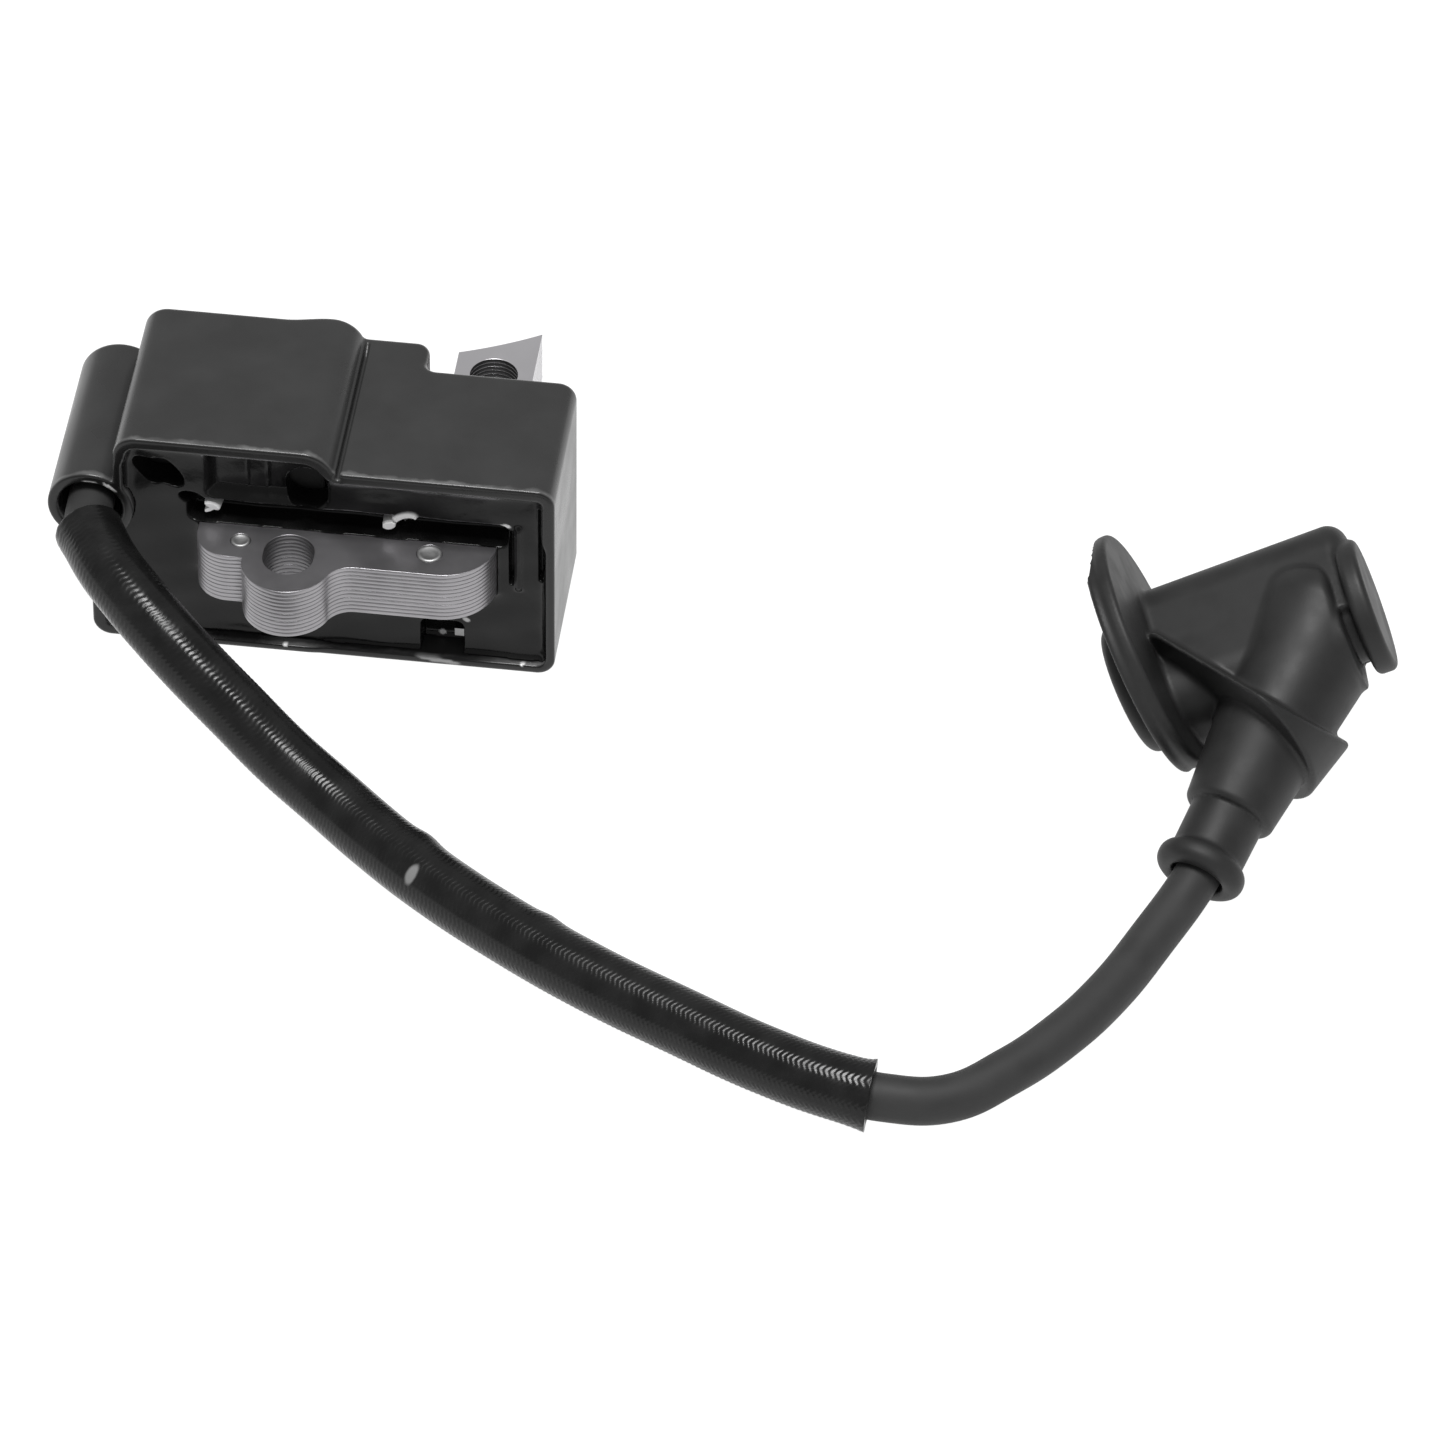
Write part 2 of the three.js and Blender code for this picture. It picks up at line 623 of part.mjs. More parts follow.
function bootHead() {
  const barrel = turned([
    [0, -barrelReach], [barrelRadius - barrelRound, -barrelReach],
    [barrelRadius, -barrelReach + barrelRound], [barrelRadius, discThickness], [0, discThickness],
  ], 28);
  const head = turned([
    [0, 0], [headRadius, 0], [headEndRadius, headLength - headRound],
    [headEndRadius - headRound, headLength], [0, headLength],
  ], 28);
  const cap = turned([
    [0, headLength - headRound], [capRadius - capGroove, headLength - headRound],
    [capRadius - capGroove, headLength + capGroove], [capRadius, headLength + capGroove],
    [capRadius, headLength + capLength], [0, headLength + capLength],
  ], 28);
  const disc = turned([[0, 0], [discRadius, 0], [discRadius, discThickness], [0, discThickness]], 32)
    .translate(0, discRise, 0);
  return [barrel, head, cap, disc].map((piece) => toSolid(place(piece, discPoint, plugAxis)));
}

function bootStem() {
  const collar = turnedBetween([
    [0, 0], [collarRadius, 0], [collarRadius, collarLength], [neckRadius, collarLength],
    [neckRadius, neckLength], [0, neckLength],
  ], collarPoint, neckPoint, 20);
  const stemLength = elbow.distanceTo(neckPoint);
  const stem = turnedBetween([
    [0, 0], [stemRadius, 0], [stemEndRadius, stemLength * stemTaper], [stemEndRadius, stemLength],
    [0, stemLength],
  ], neckPoint, elbow, 24);
  return [collar, stem];
}

// The thin skirt across the elbow, square to the line that halves it.
function bootSkirt() {
  const stemAxis = elbow.clone().sub(neckPoint).normalize();
  const axis = stemAxis.clone().add(plugAxis).normalize();
  const point = elbow.clone()
    .addScaledVector(stemAxis, -skirtDrop)
    .addScaledVector(plugAxis, -skirtSet);
  const disc = turned([
    [0, 0], [skirtRadius, 0], [skirtRadius, skirtThickness], [0, skirtThickness],
  ], 28);
  return toSolid(place(disc, point, axis));
}

function bootBody() {
  const bored = (radius, from, to) => [[0, from], [radius, from], [radius, to], [0, to]];
  const socket = turned(bored(socketRadius, -barrelReach - overrun, socketDepth - barrelReach), 20);
  const leadHole = turned(bored(leadDiameter / 2 + leadHoleSlack, -overrun, leadGrip), 16);
  const neckAxis = neckPoint.clone().sub(collarPoint).normalize();
  const leadBore = toSolid(place(leadHole, collarPoint, neckAxis));
  return cut(join([...bootHead(), ...bootStem(), bootSkirt()]),
    [toSolid(place(socket, discPoint, plugAxis)), leadBore]);
}

// The coiled contact that snaps over the spark plug's terminal.
function plugSpring() {
  class Helix extends THREE.Curve {
    getPoint(t, target = new THREE.Vector3()) {
      const angle = t * springTurns * Math.PI * 2;
      return target.set(Math.cos(angle) * springRadius, Math.sin(angle) * springRadius,
        t * springTurns * springPitch);
    }
  }
  const wire = tube(new Helix(), springWire / 2, springTurns * 16, 0, 6);
  const base = socketDepth - barrelReach - springTurns * springPitch - springWire;
  return place(wire, discPoint.clone().addScaledVector(plugAxis, base), plugAxis);
}

function addBoot() {
  add(leadGroup, "boot_body", toGeometry(bootBody()), bootRubber);
  add(leadGroup, "plug_spring", plugSpring(), springSteel);
}

// ---------------------------------------------------------------- assembly
add(moduleGroup, "housing", toGeometry(housing()), blackPlastic);
add(moduleGroup, "potting_resin", toGeometry(pottingResin()), resin);
add(moduleGroup, "ht_terminal", toGeometry(htTerminalSolid(0)), brass);
addCore();
addIgnitionCoil();
addChargeCoil();
addCircuit();
addGroundStrap();
addLead();
addBoot();

export default root;
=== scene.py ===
"""Looks of the small-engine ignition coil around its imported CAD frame. Metres, +Z up.

The moulded pieces are distance fields, written in millimetres and meshed by a surface net.
"""

import math

import bpy
import numpy as np
from mathutils import Matrix, Vector
from mathutils.geometry import interpolate_bezier


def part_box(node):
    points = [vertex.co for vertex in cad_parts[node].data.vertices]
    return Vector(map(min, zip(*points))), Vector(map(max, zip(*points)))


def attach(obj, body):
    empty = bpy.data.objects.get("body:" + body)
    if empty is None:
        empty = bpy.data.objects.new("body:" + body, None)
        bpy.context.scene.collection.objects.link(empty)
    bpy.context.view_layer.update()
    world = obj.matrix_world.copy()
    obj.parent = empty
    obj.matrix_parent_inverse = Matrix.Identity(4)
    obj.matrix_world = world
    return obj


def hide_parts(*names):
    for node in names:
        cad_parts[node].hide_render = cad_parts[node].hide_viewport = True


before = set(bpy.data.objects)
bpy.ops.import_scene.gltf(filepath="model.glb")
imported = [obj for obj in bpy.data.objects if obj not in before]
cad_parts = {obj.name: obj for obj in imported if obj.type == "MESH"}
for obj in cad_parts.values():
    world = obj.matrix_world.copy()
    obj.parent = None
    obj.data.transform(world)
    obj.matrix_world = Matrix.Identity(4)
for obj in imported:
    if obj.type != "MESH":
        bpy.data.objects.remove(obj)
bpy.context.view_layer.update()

MM = 0.001

# ---------------------------------------------------------------- camera
CAMERA_AZIMUTH = math.radians(6.437)
CAMERA_ELEVATION = math.radians(42.771)
CAMERA_ROLL = math.radians(0.874)
CAMERA_DISTANCE = 1.0205
CAMERA_AIM = Vector((0.04602, -0.01879, 0.0))
CAMERA_LENS = 238.19
SENSOR_WIDTH = 36.0


def link(thing):
    bpy.context.scene.collection.objects.link(thing)
    return thing


def add_camera():
    """A long lens about a metre away, turned and rolled as the product shot was."""
    across = Vector((math.cos(CAMERA_AZIMUTH), math.sin(CAMERA_AZIMUTH), 0))
    back = Vector((
        math.sin(CAMERA_AZIMUTH) * math.cos(CAMERA_ELEVATION),
        -math.cos(CAMERA_AZIMUTH) * math.cos(CAMERA_ELEVATION),
        math.sin(CAMERA_ELEVATION),
    ))
    above = back.cross(across)
    right = math.cos(CAMERA_ROLL) * across + math.sin(CAMERA_ROLL) * above
    up = back.cross(right)
    data = bpy.data.cameras.new("camera")
    data.lens = CAMERA_LENS
    data.sensor_width = SENSOR_WIDTH
    data.clip_start = 0.05
    data.clip_end = 20
    camera = link(bpy.data.objects.new("camera", data))
    turn = Matrix((right, up, back)).transposed().to_4x4()
    camera.matrix_world = Matrix.Translation(CAMERA_AIM + back * CAMERA_DISTANCE) @ turn
    bpy.context.scene.camera = camera


add_camera()

# ---------------------------------------------------------------- lead
LEAD_DIAMETER = 5 * MM
LEAD_ROUTE_MM = [
    (-22.65, -0.9, 18), (-22.65, -7, 18), (-22.65, -13.82, 18), (-22.4, -16.6, 18),
    (-21.2, -19, 17.9), (-19, -22.6, 17.7), (-16.5, -25.5, 17.1), (-13.9, -28, 16.1),
    (-8.8, -31.7, 13.3), (-3.6, -34.7, 10.1), (1.6, -37.6, 6.9), (7.2, -41, 4.7),
    (12.9, -45.6, 3.8), (19, -50.6, 3.6), (28.4, -57.3, 3.6), (37.9, -63.1, 3.6),
    (47.5, -68, 3.6), (57.1, -72.6, 3.6), (65, -75.4, 3.6), (69.6, -76, 3.3),
    (76, -74.6, 2.6), (81.7, -69.9, 2.6), (86.6, -64, 2.6), (90.8, -57.1, 2.6),
    (94.6, -49, 3.1), (98.7, -40.35, 5), (101, -33.95, 7.4), (103.6, -26.7, 10.1),
]
LEAD_ROUTE = [Vector(point) * MM for point in LEAD_ROUTE_MM]


def add_lead():
    data = bpy.data.curves.new("high_tension_lead", "CURVE")
    data.dimensions = "3D"
    data.bevel_depth = LEAD_DIAMETER / 2
    data.bevel_resolution = 8
    data.use_fill_caps = True
    data.resolution_u = 12
    spline = data.splines.new("BEZIER")
    spline.bezier_points.add(len(LEAD_ROUTE) - 1)
    for bezier, place in zip(spline.bezier_points, LEAD_ROUTE):
        bezier.co = place
        bezier.handle_left_type = "AUTO"
        bezier.handle_right_type = "AUTO"
    return link(bpy.data.objects.new("high_tension_lead", data))


lead = add_lead()

# ---------------------------------------------------------------- module places (mm)
# The module's pieces are written from the housing's left, front, bottom corner.
MODULE_SHIFT = np.array([-22.85, -13.8155, 0.0])
BODY_WIDTH = 50.1
BODY_HEIGHT = 25.8
BODY_DEPTH = 18.5
SHOULDER_RIGHT = 33.7
SHOULDER_DEPTH = 22.9
HUMP_LEFT = 2.85
HUMP_RIGHT = 26.7
HUMP_HEIGHT = 28.2
HUMP_DEPTH = 22.2
HUMP_CORNER = 2.6
HUMP_FALL = 3.6
GROOVE_WIDTH = 0.5
GROOVE_DEPTH = 0.9
CORNER = 2.0
WALL = 1.4
BOSS_X = 0.2
BOSS_Z = 18.0
BOSS_RADIUS = 4.6
BOSS_BORE = 3.5
BOSS_BORE_DEPTH = 15.5
CORE_TOP = 16.5
CORE_BOTTOM = 10.17
YOKE_LEFT = 11.8
YOKE_RIGHT = 43.8
COIL_LEG_RIGHT = 18.1
POLE_LEG_LEFT = 35.2
RESIN_RECESS = 1.3
RESIN_PLUG = 3.0
SHEET_COUNT = 12
SHEET_THICKNESS = 0.5
SHEET_PITCH = 0.53
SHEET_BEVEL = 0.05
YOKE_FRONT = -4.0
YOKE_BACK = 4.3
YOKE_LEFT_CORNER = 3.6
YOKE_RIGHT_CORNER = 5.8
LUG_X = 22.0
LUG_RADIUS = 4.85
LUG_FILLET = 3.0
SLOT_RADIUS = 2.7
SLOT_FRONT = -3.3
SLOT_BACK = -2.4
REAR_HOLE_X = 39.5
REAR_HOLE_Y = 29.1
REAR_HOLE_RADIUS = 2.6
FLYWHEEL_X = 19.6
FLYWHEEL_Y = 75.6
FLYWHEEL_RADIUS = 46.0
RIVETS = [(16.6, -1.3, 1.05), (36.8, -0.7, 1.35)]  # x, y, radius of the spread head


# ---------------------------------------------------------------- distance fields
SETTLE_ROUNDS = 3
SETTLE_NUDGE = 0.1  # share of the pitch by which a slope is felt
LEAST_SLOPE = 0.2  # of the slope's square, so that a flat place moves no vertex far


def meet(a, b, radius=0.0):
    """Where both fields are inside, the edge between them rounded."""
    a, b = a + radius, b + radius
    return np.hypot(np.maximum(a, 0), np.maximum(b, 0)) + np.minimum(np.maximum(a, b), 0) - radius


def merge(a, b, fillet=0.0):
    """Where either field is inside, the crease between them filled."""
    return -meet(-a, -b, fillet)


def carve(a, b, radius=0.0):
    return meet(a, -b, radius)


def span(value, low, high):
    return np.abs(value - (low + high) / 2) - (high - low) / 2


def rectangle(u, v, left, right, low, high, radius=0.0):
    return meet(span(u, left, right), span(v, low, high), radius)


def bump(*offsets):
    """One at the middle, falling off over one unit each way."""
    return np.exp(-sum(offset**2 for offset in offsets))


def step(value, low, high):
    """Nothing up to low, one from high, smooth between."""
    t = np.clip((value - low) / (high - low), 0, 1)
    return t * t * (3 - 2 * t)


def surface_net(field, low, high, pitch):
    """The zero surface of a field in a box, as vertices and quads."""
    counts = [int(math.ceil((h - l) / pitch)) + 1 for l, h in zip(low, high)]
    axes = [l + pitch * np.arange(n) for l, n in zip(low, counts)]
    value = field(*np.meshgrid(*axes, indexing="ij"))
    inside = value < 0
    cells = tuple(n - 1 for n in counts)
    corners = [(i, j, k) for i in (0, 1) for j in (0, 1) for k in (0, 1)]

    def corner(array, at):
        return array[tuple(slice(o, o + n) for o, n in zip(at, cells))]

    count = sum(corner(inside, at).astype(np.int8) for at in corners)
    mixed = np.nonzero((count > 0) & (count < 8))
    base = np.stack(mixed, axis=1)
    number = np.full(cells, -1)
    number[mixed] = np.arange(len(base))
    total = np.zeros((len(base), 3))
    crossings = np.zeros(len(base))
    for at in corners:
        for axis in range(3):
            if at[axis]:
                continue
            to = tuple(1 if a == axis else o for a, o in enumerate(at))
            v0, v1 = corner(value, at)[mixed], corner(value, to)[mixed]
            crossed = (v0 < 0) != (v1 < 0)
            share = np.where(crossed, v0 / np.where(crossed, v0 - v1, 1), 0)
            place = np.array(at, float) + np.eye(3)[axis] * share[:, None]
            total += place * crossed[:, None]
            crossings += crossed
    vertices = np.array(low) + (base + total / crossings[:, None]) * pitch
    quads = []
    for axis in range(3):
        u, v = (axis + 1) % 3, (axis + 2) % 3
        near = tuple(slice(0 if a == axis else 1, n - 1) for a, n in enumerate(counts))
        far = tuple(slice(1 if a == axis else 1, n if a == axis else n - 1)
                    for a, n in enumerate(counts))
        a, b = inside[near], inside[far]
        for sign, chosen in ((1, a & ~b), (-1, ~a & b)):
            at = np.stack(np.nonzero(chosen), axis=1)
            at += np.array([0 if k == axis else 1 for k in range(3)])
            ring = []
            for du, dv in ((0, 0), (1, 0), (1, 1), (0, 1)):
                cell = at.copy()
                cell[:, u] -= du
                cell[:, v] -= dv
                ring.append(number[cell[:, 0], cell[:, 1], cell[:, 2]])
            quads.append(np.stack(ring[::sign], axis=1))
    return settle(field, vertices, pitch), np.concatenate(quads)


def settle(field, vertices, pitch):
    """Moves the vertices onto the surface along the field's slope."""
    nudge = pitch * SETTLE_NUDGE
    for _ in range(SETTLE_ROUNDS):
        here = field(*vertices.T)
        slope = np.stack([
            (field(*(vertices + nudge * axis).T) - here) / nudge for axis in np.eye(3)
        ], axis=1)
        steep = np.maximum((slope**2).sum(axis=1), LEAST_SLOPE)
        move = slope * (here / steep)[:, None]
        vertices = vertices - np.clip(move, -pitch / 2, pitch / 2)
    return vertices


def add_mesh(name, vertices_mm, faces, look):
    """A mesh object from places in millimetres in the row's own frame."""
    mesh = bpy.data.meshes.new(name)
    mesh.from_pydata((np.asarray(vertices_mm) * MM).tolist(), [], np.asarray(faces).tolist())
    mesh.polygons.foreach_set("use_smooth", [True] * len(mesh.polygons))
    mesh.update()
    mesh.materials.append(look)
    return link(bpy.data.objects.new(name, mesh))


def add_field(name, field, low, high, pitch, look, shift=(0, 0, 0), patches=None):
    vertices, quads = surface_net(field, low, high, pitch)
    piece = add_mesh(name, vertices + np.asarray(shift), quads, look)
    if patches:
        set_patches(piece.data, patches(*vertices.T))
    return piece


def set_patches(mesh, values, domain="POINT"):
    layer = mesh.attributes.new("patch", "FLOAT", domain)
    layer.data.foreach_set("value", np.asarray(values, np.float32).ravel())


def add_loft(name, rings, look):
    """A skin over rings of points, each ring closed on itself."""
    rings = np.asarray(rings)
    count, sides, _ = rings.shape
    number = np.arange(count * sides).reshape(count, sides)
    quads = np.stack([
        number[:-1], np.roll(number[:-1], -1, axis=1), np.roll(number[1:], -1, axis=1), number[1:],
    ], axis=-1).reshape(-1, 4)
    return add_mesh(name, rings.reshape(-1, 3), quads, look)


def stand_for(piece, slot, *nodes):
    """Rides on the one body, in the place of the CAD nodes it shows in finer detail."""
    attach(piece, "root")
    if nodes:
        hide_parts(*nodes)


# ---------------------------------------------------------------- materials
def blank(name):
    look = bpy.data.materials.new(name)
    look.use_nodes = True
    return look, look.node_tree.nodes, look.node_tree.links


def noise(nodes, links, scale_mm, detail):
    """Noise in the object's own frame, with features about scale_mm across."""
    place = nodes.new("ShaderNodeTexCoord")
    texture = nodes.new("ShaderNodeTexNoise")
    texture.inputs["Scale"].default_value = 1 / (scale_mm * MM)
    texture.inputs["Detail"].default_value = detail
    links.new(place.outputs["Object"], texture.inputs["Vector"])
    return texture.outputs["Fac"]


def ramp(nodes, links, source, low, high, start=0.35, end=0.65):
    """Turns a value from start to end into low to high."""
    scale = nodes.new("ShaderNodeMapRange")
    scale.inputs["From Min"].default_value = start
    scale.inputs["From Max"].default_value = end
    scale.inputs["To Min"].default_value = low
    scale.inputs["To Max"].default_value = high
    links.new(source, scale.inputs["Value"])
    return scale.outputs["Result"]


def mix(nodes, links, share, low, high):
    """A colour between two, by a share from nothing to one."""
    blend = nodes.new("ShaderNodeMix")
    blend.data_type = "RGBA"
    blend.inputs["A"].default_value = (*low, 1)
    blend.inputs["B"].default_value = (*high, 1)
    links.new(share, blend.inputs["Factor"])
    return blend.outputs["Result"]


def surface(name, dark, light, rough, grain_mm=0.3, grain_depth_mm=0.01, mottle_mm=6,
            metallic=0.0, specular=0.5):
    """Mottled colour and gloss with a fine grain: the base of every material here."""
    look, nodes, links = blank(name)
    shader = nodes["Principled BSDF"]
    mottle = noise(nodes, links, mottle_mm, 4)
    fine = noise(nodes, links, grain_mm, 2)
    links.new(mix(nodes, links, ramp(nodes, links, mottle, 0, 1), dark, light),
              shader.inputs["Base Color"])
    links.new(ramp(nodes, links, mottle, *rough), shader.inputs["Roughness"])
    relief = nodes.new("ShaderNodeBump")
    relief.inputs["Distance"].default_value = grain_depth_mm * MM
    links.new(fine, relief.inputs["Height"])
    links.new(relief.outputs["Normal"], shader.inputs["Normal"])
    shader.inputs["Metallic"].default_value = metallic
    shader.inputs["Specular IOR Level"].default_value = specular
    return look


def grey(value):
    return (value, value, value)


def add_patches(look, colour, gloss=0.12):
    """Another colour and gloss where the mesh's patch value is high: painted highlights on the
    housing and the resin, painted shade on the walls of the core's holes, and a pale spot on the
    sleeve.
    """
    nodes, links = look.node_tree.nodes, look.node_tree.links
    shader = nodes["Principled BSDF"]
    patch = nodes.new("ShaderNodeAttribute")
    patch.attribute_name = "patch"
    for socket, high in (("Base Color", (*colour, 1)), ("Roughness", gloss)):
        source = shader.inputs[socket].links[0].from_socket
        blend = nodes.new("ShaderNodeMix")
        blend.data_type = "RGBA" if socket == "Base Color" else "FLOAT"
        links.new(patch.outputs["Fac"], blend.inputs["Factor"])
        links.new(source, blend.inputs["A"])
        blend.inputs["B"].default_value = high
        links.new(blend.outputs["Result"], shader.inputs[socket])


# Where the painted reflection on the legs begins and where it is full, along y.
LEGS_START_Y = -5 * MM
LEGS_BRIGHT_Y = 0


def add_legs_painted_reflection(look, reflected_colour):
    """Painted reflection: brighter steel on the legs than on the yoke, for the light the legs
    reflect.
    """
    nodes, links = look.node_tree.nodes, look.node_tree.links
    shader = nodes["Principled BSDF"]
    place = nodes.new("ShaderNodeTexCoord")
    split = nodes.new("ShaderNodeSeparateXYZ")
    links.new(place.outputs["Object"], split.inputs["Vector"])
    source = shader.inputs["Base Color"].links[0].from_socket
    blend = nodes.new("ShaderNodeMix")
    blend.data_type = "RGBA"
    share = ramp(nodes, links, split.outputs["Y"], 0, 1, LEGS_START_Y, LEGS_BRIGHT_Y)
    links.new(share, blend.inputs["Factor"])
    links.new(source, blend.inputs["A"])
    blend.inputs["B"].default_value = (*reflected_colour, 1)
    links.new(blend.outputs["Result"], shader.inputs["Base Color"])


WET_BAND_MM = (0.1, 0.3)  # behind the front face: where the wet look starts and stops fading
RIM_HIGHLIGHT_MM = (0.3, 0.8)  # and where the painted highlight line behind it starts and stops fading
# How the painted highlight line wanders, and how big its breaks are.
RIM_WOBBLE = 0.35 * MM
WOBBLE_SIZE_MM = 2.2
BREAK_SIZE_MM = 4.5


def add_front_smear_and_highlight(look, front, wet, pale):
    """Resin wiped over the housing's open front, and a painted highlight: a paler, broken line along
    its rim where the edge catches the light.
    """
    nodes, links = look.node_tree.nodes, look.node_tree.links
    shader = nodes["Principled BSDF"]
    place = nodes.new("ShaderNodeTexCoord")
    split = nodes.new("ShaderNodeSeparateXYZ")
    links.new(place.outputs["Object"], split.inputs["Vector"])
    uneven = noise(nodes, links, WOBBLE_SIZE_MM, 4)
    wobble = ramp(nodes, links, uneven, -RIM_WOBBLE, RIM_WOBBLE, 0.3, 0.7)
    shifted = nodes.new("ShaderNodeMath")
    links.new(split.outputs["Y"], shifted.inputs[0])
    links.new(wobble, shifted.inputs[1])
    wet_band = [(front + reach) * MM for reach in WET_BAND_MM]
    rim_highlight_band = [(front + reach) * MM for reach in RIM_HIGHLIGHT_MM]
    wetness = ramp(nodes, links, split.outputs["Y"], 1, 0, *wet_band)
    line = ramp(nodes, links, shifted.outputs["Value"], 1, 0, *rim_highlight_band)
    strength = nodes.new("ShaderNodeMath")
    strength.operation = "MULTIPLY"
    links.new(line, strength.inputs[0])
    gaps = noise(nodes, links, BREAK_SIZE_MM, 3)
    links.new(ramp(nodes, links, gaps, 0.25, 1, 0.35, 0.6), strength.inputs[1])
    # Paints the highlight line, then the darker resin smear.
    for share, colour in ((strength.outputs["Value"], pale), (wetness, wet)):
        source = shader.inputs["Base Color"].links[0].from_socket
        blend = nodes.new("ShaderNodeMix")
        blend.data_type = "RGBA"
        links.new(share, blend.inputs["Factor"])
        links.new(source, blend.inputs["A"])
        blend.inputs["B"].default_value = (*colour, 1)
        links.new(blend.outputs["Result"], shader.inputs["Base Color"])


housing_look = surface("housing_plastic", grey(0.028), grey(0.033), (0.26, 0.33),
                       grain_mm=0.25, grain_depth_mm=0.004, mottle_mm=6, specular=0.4)
# Resin smear on the front face, and a painted highlight line along the rim.
add_front_smear_and_highlight(housing_look, MODULE_SHIFT[1], grey(0.008), grey(0.13))
# Painted highlights: pale, glossy spots on the rim.
add_patches(housing_look, grey(0.75))
resin_look = surface("potting_resin", grey(0.004), grey(0.007), (0.14, 0.26),
                     grain_mm=0.8, grain_depth_mm=0.02, mottle_mm=4, specular=0.22)
# Painted highlights: pale, glossy folds and spots on the resin.
add_patches(resin_look, grey(0.85))
core_look = surface("core_steel", (0.3, 0.293, 0.305), (0.35, 0.342, 0.356), (0.29, 0.36),
                    grain_mm=0.15, grain_depth_mm=0.004, mottle_mm=5, metallic=0.85)
# Painted reflection: the legs' steel brighter than the yoke's.
add_legs_painted_reflection(core_look, (0.62, 0.61, 0.63))
add_patches(core_look, grey(0.025), 0.5)
rivet_look = surface("rivet_steel", grey(0.36), grey(0.42), (0.42, 0.5),
                     grain_mm=0.1, grain_depth_mm=0.004, mottle_mm=1, metallic=0.9)
bobbin_look = surface("bobbin_plastic", grey(0.008), grey(0.012), (0.45, 0.6), mottle_mm=3)
copper_look = surface("enamelled_copper", (0.5, 0.2, 0.08), (0.68, 0.32, 0.15), (0.25, 0.4),
                      grain_mm=0.2, grain_depth_mm=0.03, metallic=1.0, mottle_mm=2)
brass_look = surface("turned_brass", (0.5, 0.36, 0.15), (0.66, 0.5, 0.25), (0.25, 0.4),
                     metallic=1.0, mottle_mm=1.5)
tin_look = surface("tinned_metal", grey(0.22), grey(0.3), (0.3, 0.45), metallic=1.0, mottle_mm=1)
board_look = surface("board_fibre", (0.03, 0.12, 0.06), (0.06, 0.19, 0.1), (0.4, 0.55),
                     grain_mm=0.4, grain_depth_mm=0.02, mottle_mm=2)
film_look = surface("dipped_film", (0.24, 0.07, 0.03), (0.32, 0.11, 0.05), (0.2, 0.32),
                    mottle_mm=2)
component_look = surface("component_black", grey(0.018), grey(0.026), (0.4, 0.55), mottle_mm=1)
lead_look = surface("lead_rubber", grey(0.026), grey(0.032), (0.55, 0.68),
                    grain_mm=0.15, grain_depth_mm=0.008, mottle_mm=4, specular=0.35)
sleeve_look = surface("sleeve_fibre", grey(0.006), grey(0.011), (0.2, 0.3),
                      grain_mm=0.08, grain_depth_mm=0.004, mottle_mm=3, specular=0.26)
add_patches(sleeve_look, grey(0.2), 0.4)
boot_look = surface("boot_rubber", grey(0.013), grey(0.018), (0.48, 0.58),
                    grain_mm=0.2, grain_depth_mm=0.006, mottle_mm=4, specular=0.35)
spring_look = surface("spring_wire", grey(0.5), grey(0.62), (0.22, 0.35), metallic=1.0,
                      mottle_mm=1)


def dress(node, look):
    """Gives a carried-over CAD node its material."""
    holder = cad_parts[node]
    holder.data.materials.clear()
    holder.data.materials.append(look)


def dress_inner_pieces():
    looks = {
        bobbin_look: ["primary_bobbin", "secondary_bobbin", "charge_bobbin"],
        copper_look: ["primary_winding", "charge_winding", "ground_strap"]
        + [f"secondary_winding_{i}" for i in range(1, 5)],
        brass_look: ["ht_terminal"],
        tin_look: ["stop_terminal"],
        board_look: ["circuit_board"],
        film_look: ["capacitor", "resistor"],
        component_look: ["thyristor", "diode_1", "diode_2"],
    }
    for look, names in looks.items():
        for name in names:
            dress(name, look)


dress_inner_pieces()
lead.data.materials.append(lead_look)
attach(lead, "root")
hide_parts("ignition_lead")


# ---------------------------------------------------------------- housing
HOUSING_BOX = ((-4.9, -0.3, -0.3), (50.5, 23.3, 28.9))
HOUSING_PITCH = 0.23
LOW_SIDE_HEIGHT = BOSS_Z + 1
OUTER_EDGE = 0.9
FRONT_EDGE = 0.35
SHOULDER_SWELL = (18, 23)  # between these x the back swells from the hump's depth to the shoulder's
GROOVE_RUN_OUT = (0.4, 3)  # from the shoulder's back
LEG_SLACK = 0.05
# Painted highlights on the rim, pale glossy glints: x, z, half length, half width, turn in degrees,
# strength.
RIM_HIGHLIGHTS = [
    (0.3, 21.6, 0.7, 0.2, 0, 1),
    (2.4, 21.2, 0.8, 0.2, -35, 1),
    (21.15, 1.05, 0.7, 0.22, 40, 1),
    (46.8, 1.2, 0.55, 0.15, 38, 1),
    (37.5, 0.68, 2.4, 0.3, -7, 0.5),
]
RIM_HIGHLIGHT_REACH = (0.4, 0.6)  # behind the front face: where the painted highlights start and stop fading


def housing_profile(x, z):
    """The housing seen from the front: low left part, hump, body."""
    low = rectangle(x, z, 0, BODY_WIDTH, 0, LOW_SIDE_HEIGHT, CORNER)
    body = rectangle(x, z, HUMP_LEFT, BODY_WIDTH, 0, BODY_HEIGHT, CORNER)
    hump = np.where(
        x < (HUMP_LEFT + HUMP_RIGHT) / 2,
        rectangle(x, z, HUMP_LEFT, HUMP_RIGHT, 0, HUMP_HEIGHT, HUMP_CORNER),
        rectangle(x, z, HUMP_LEFT, HUMP_RIGHT, 0, HUMP_HEIGHT, HUMP_FALL),
    )
    return merge(merge(low, body), hump, 0.3)


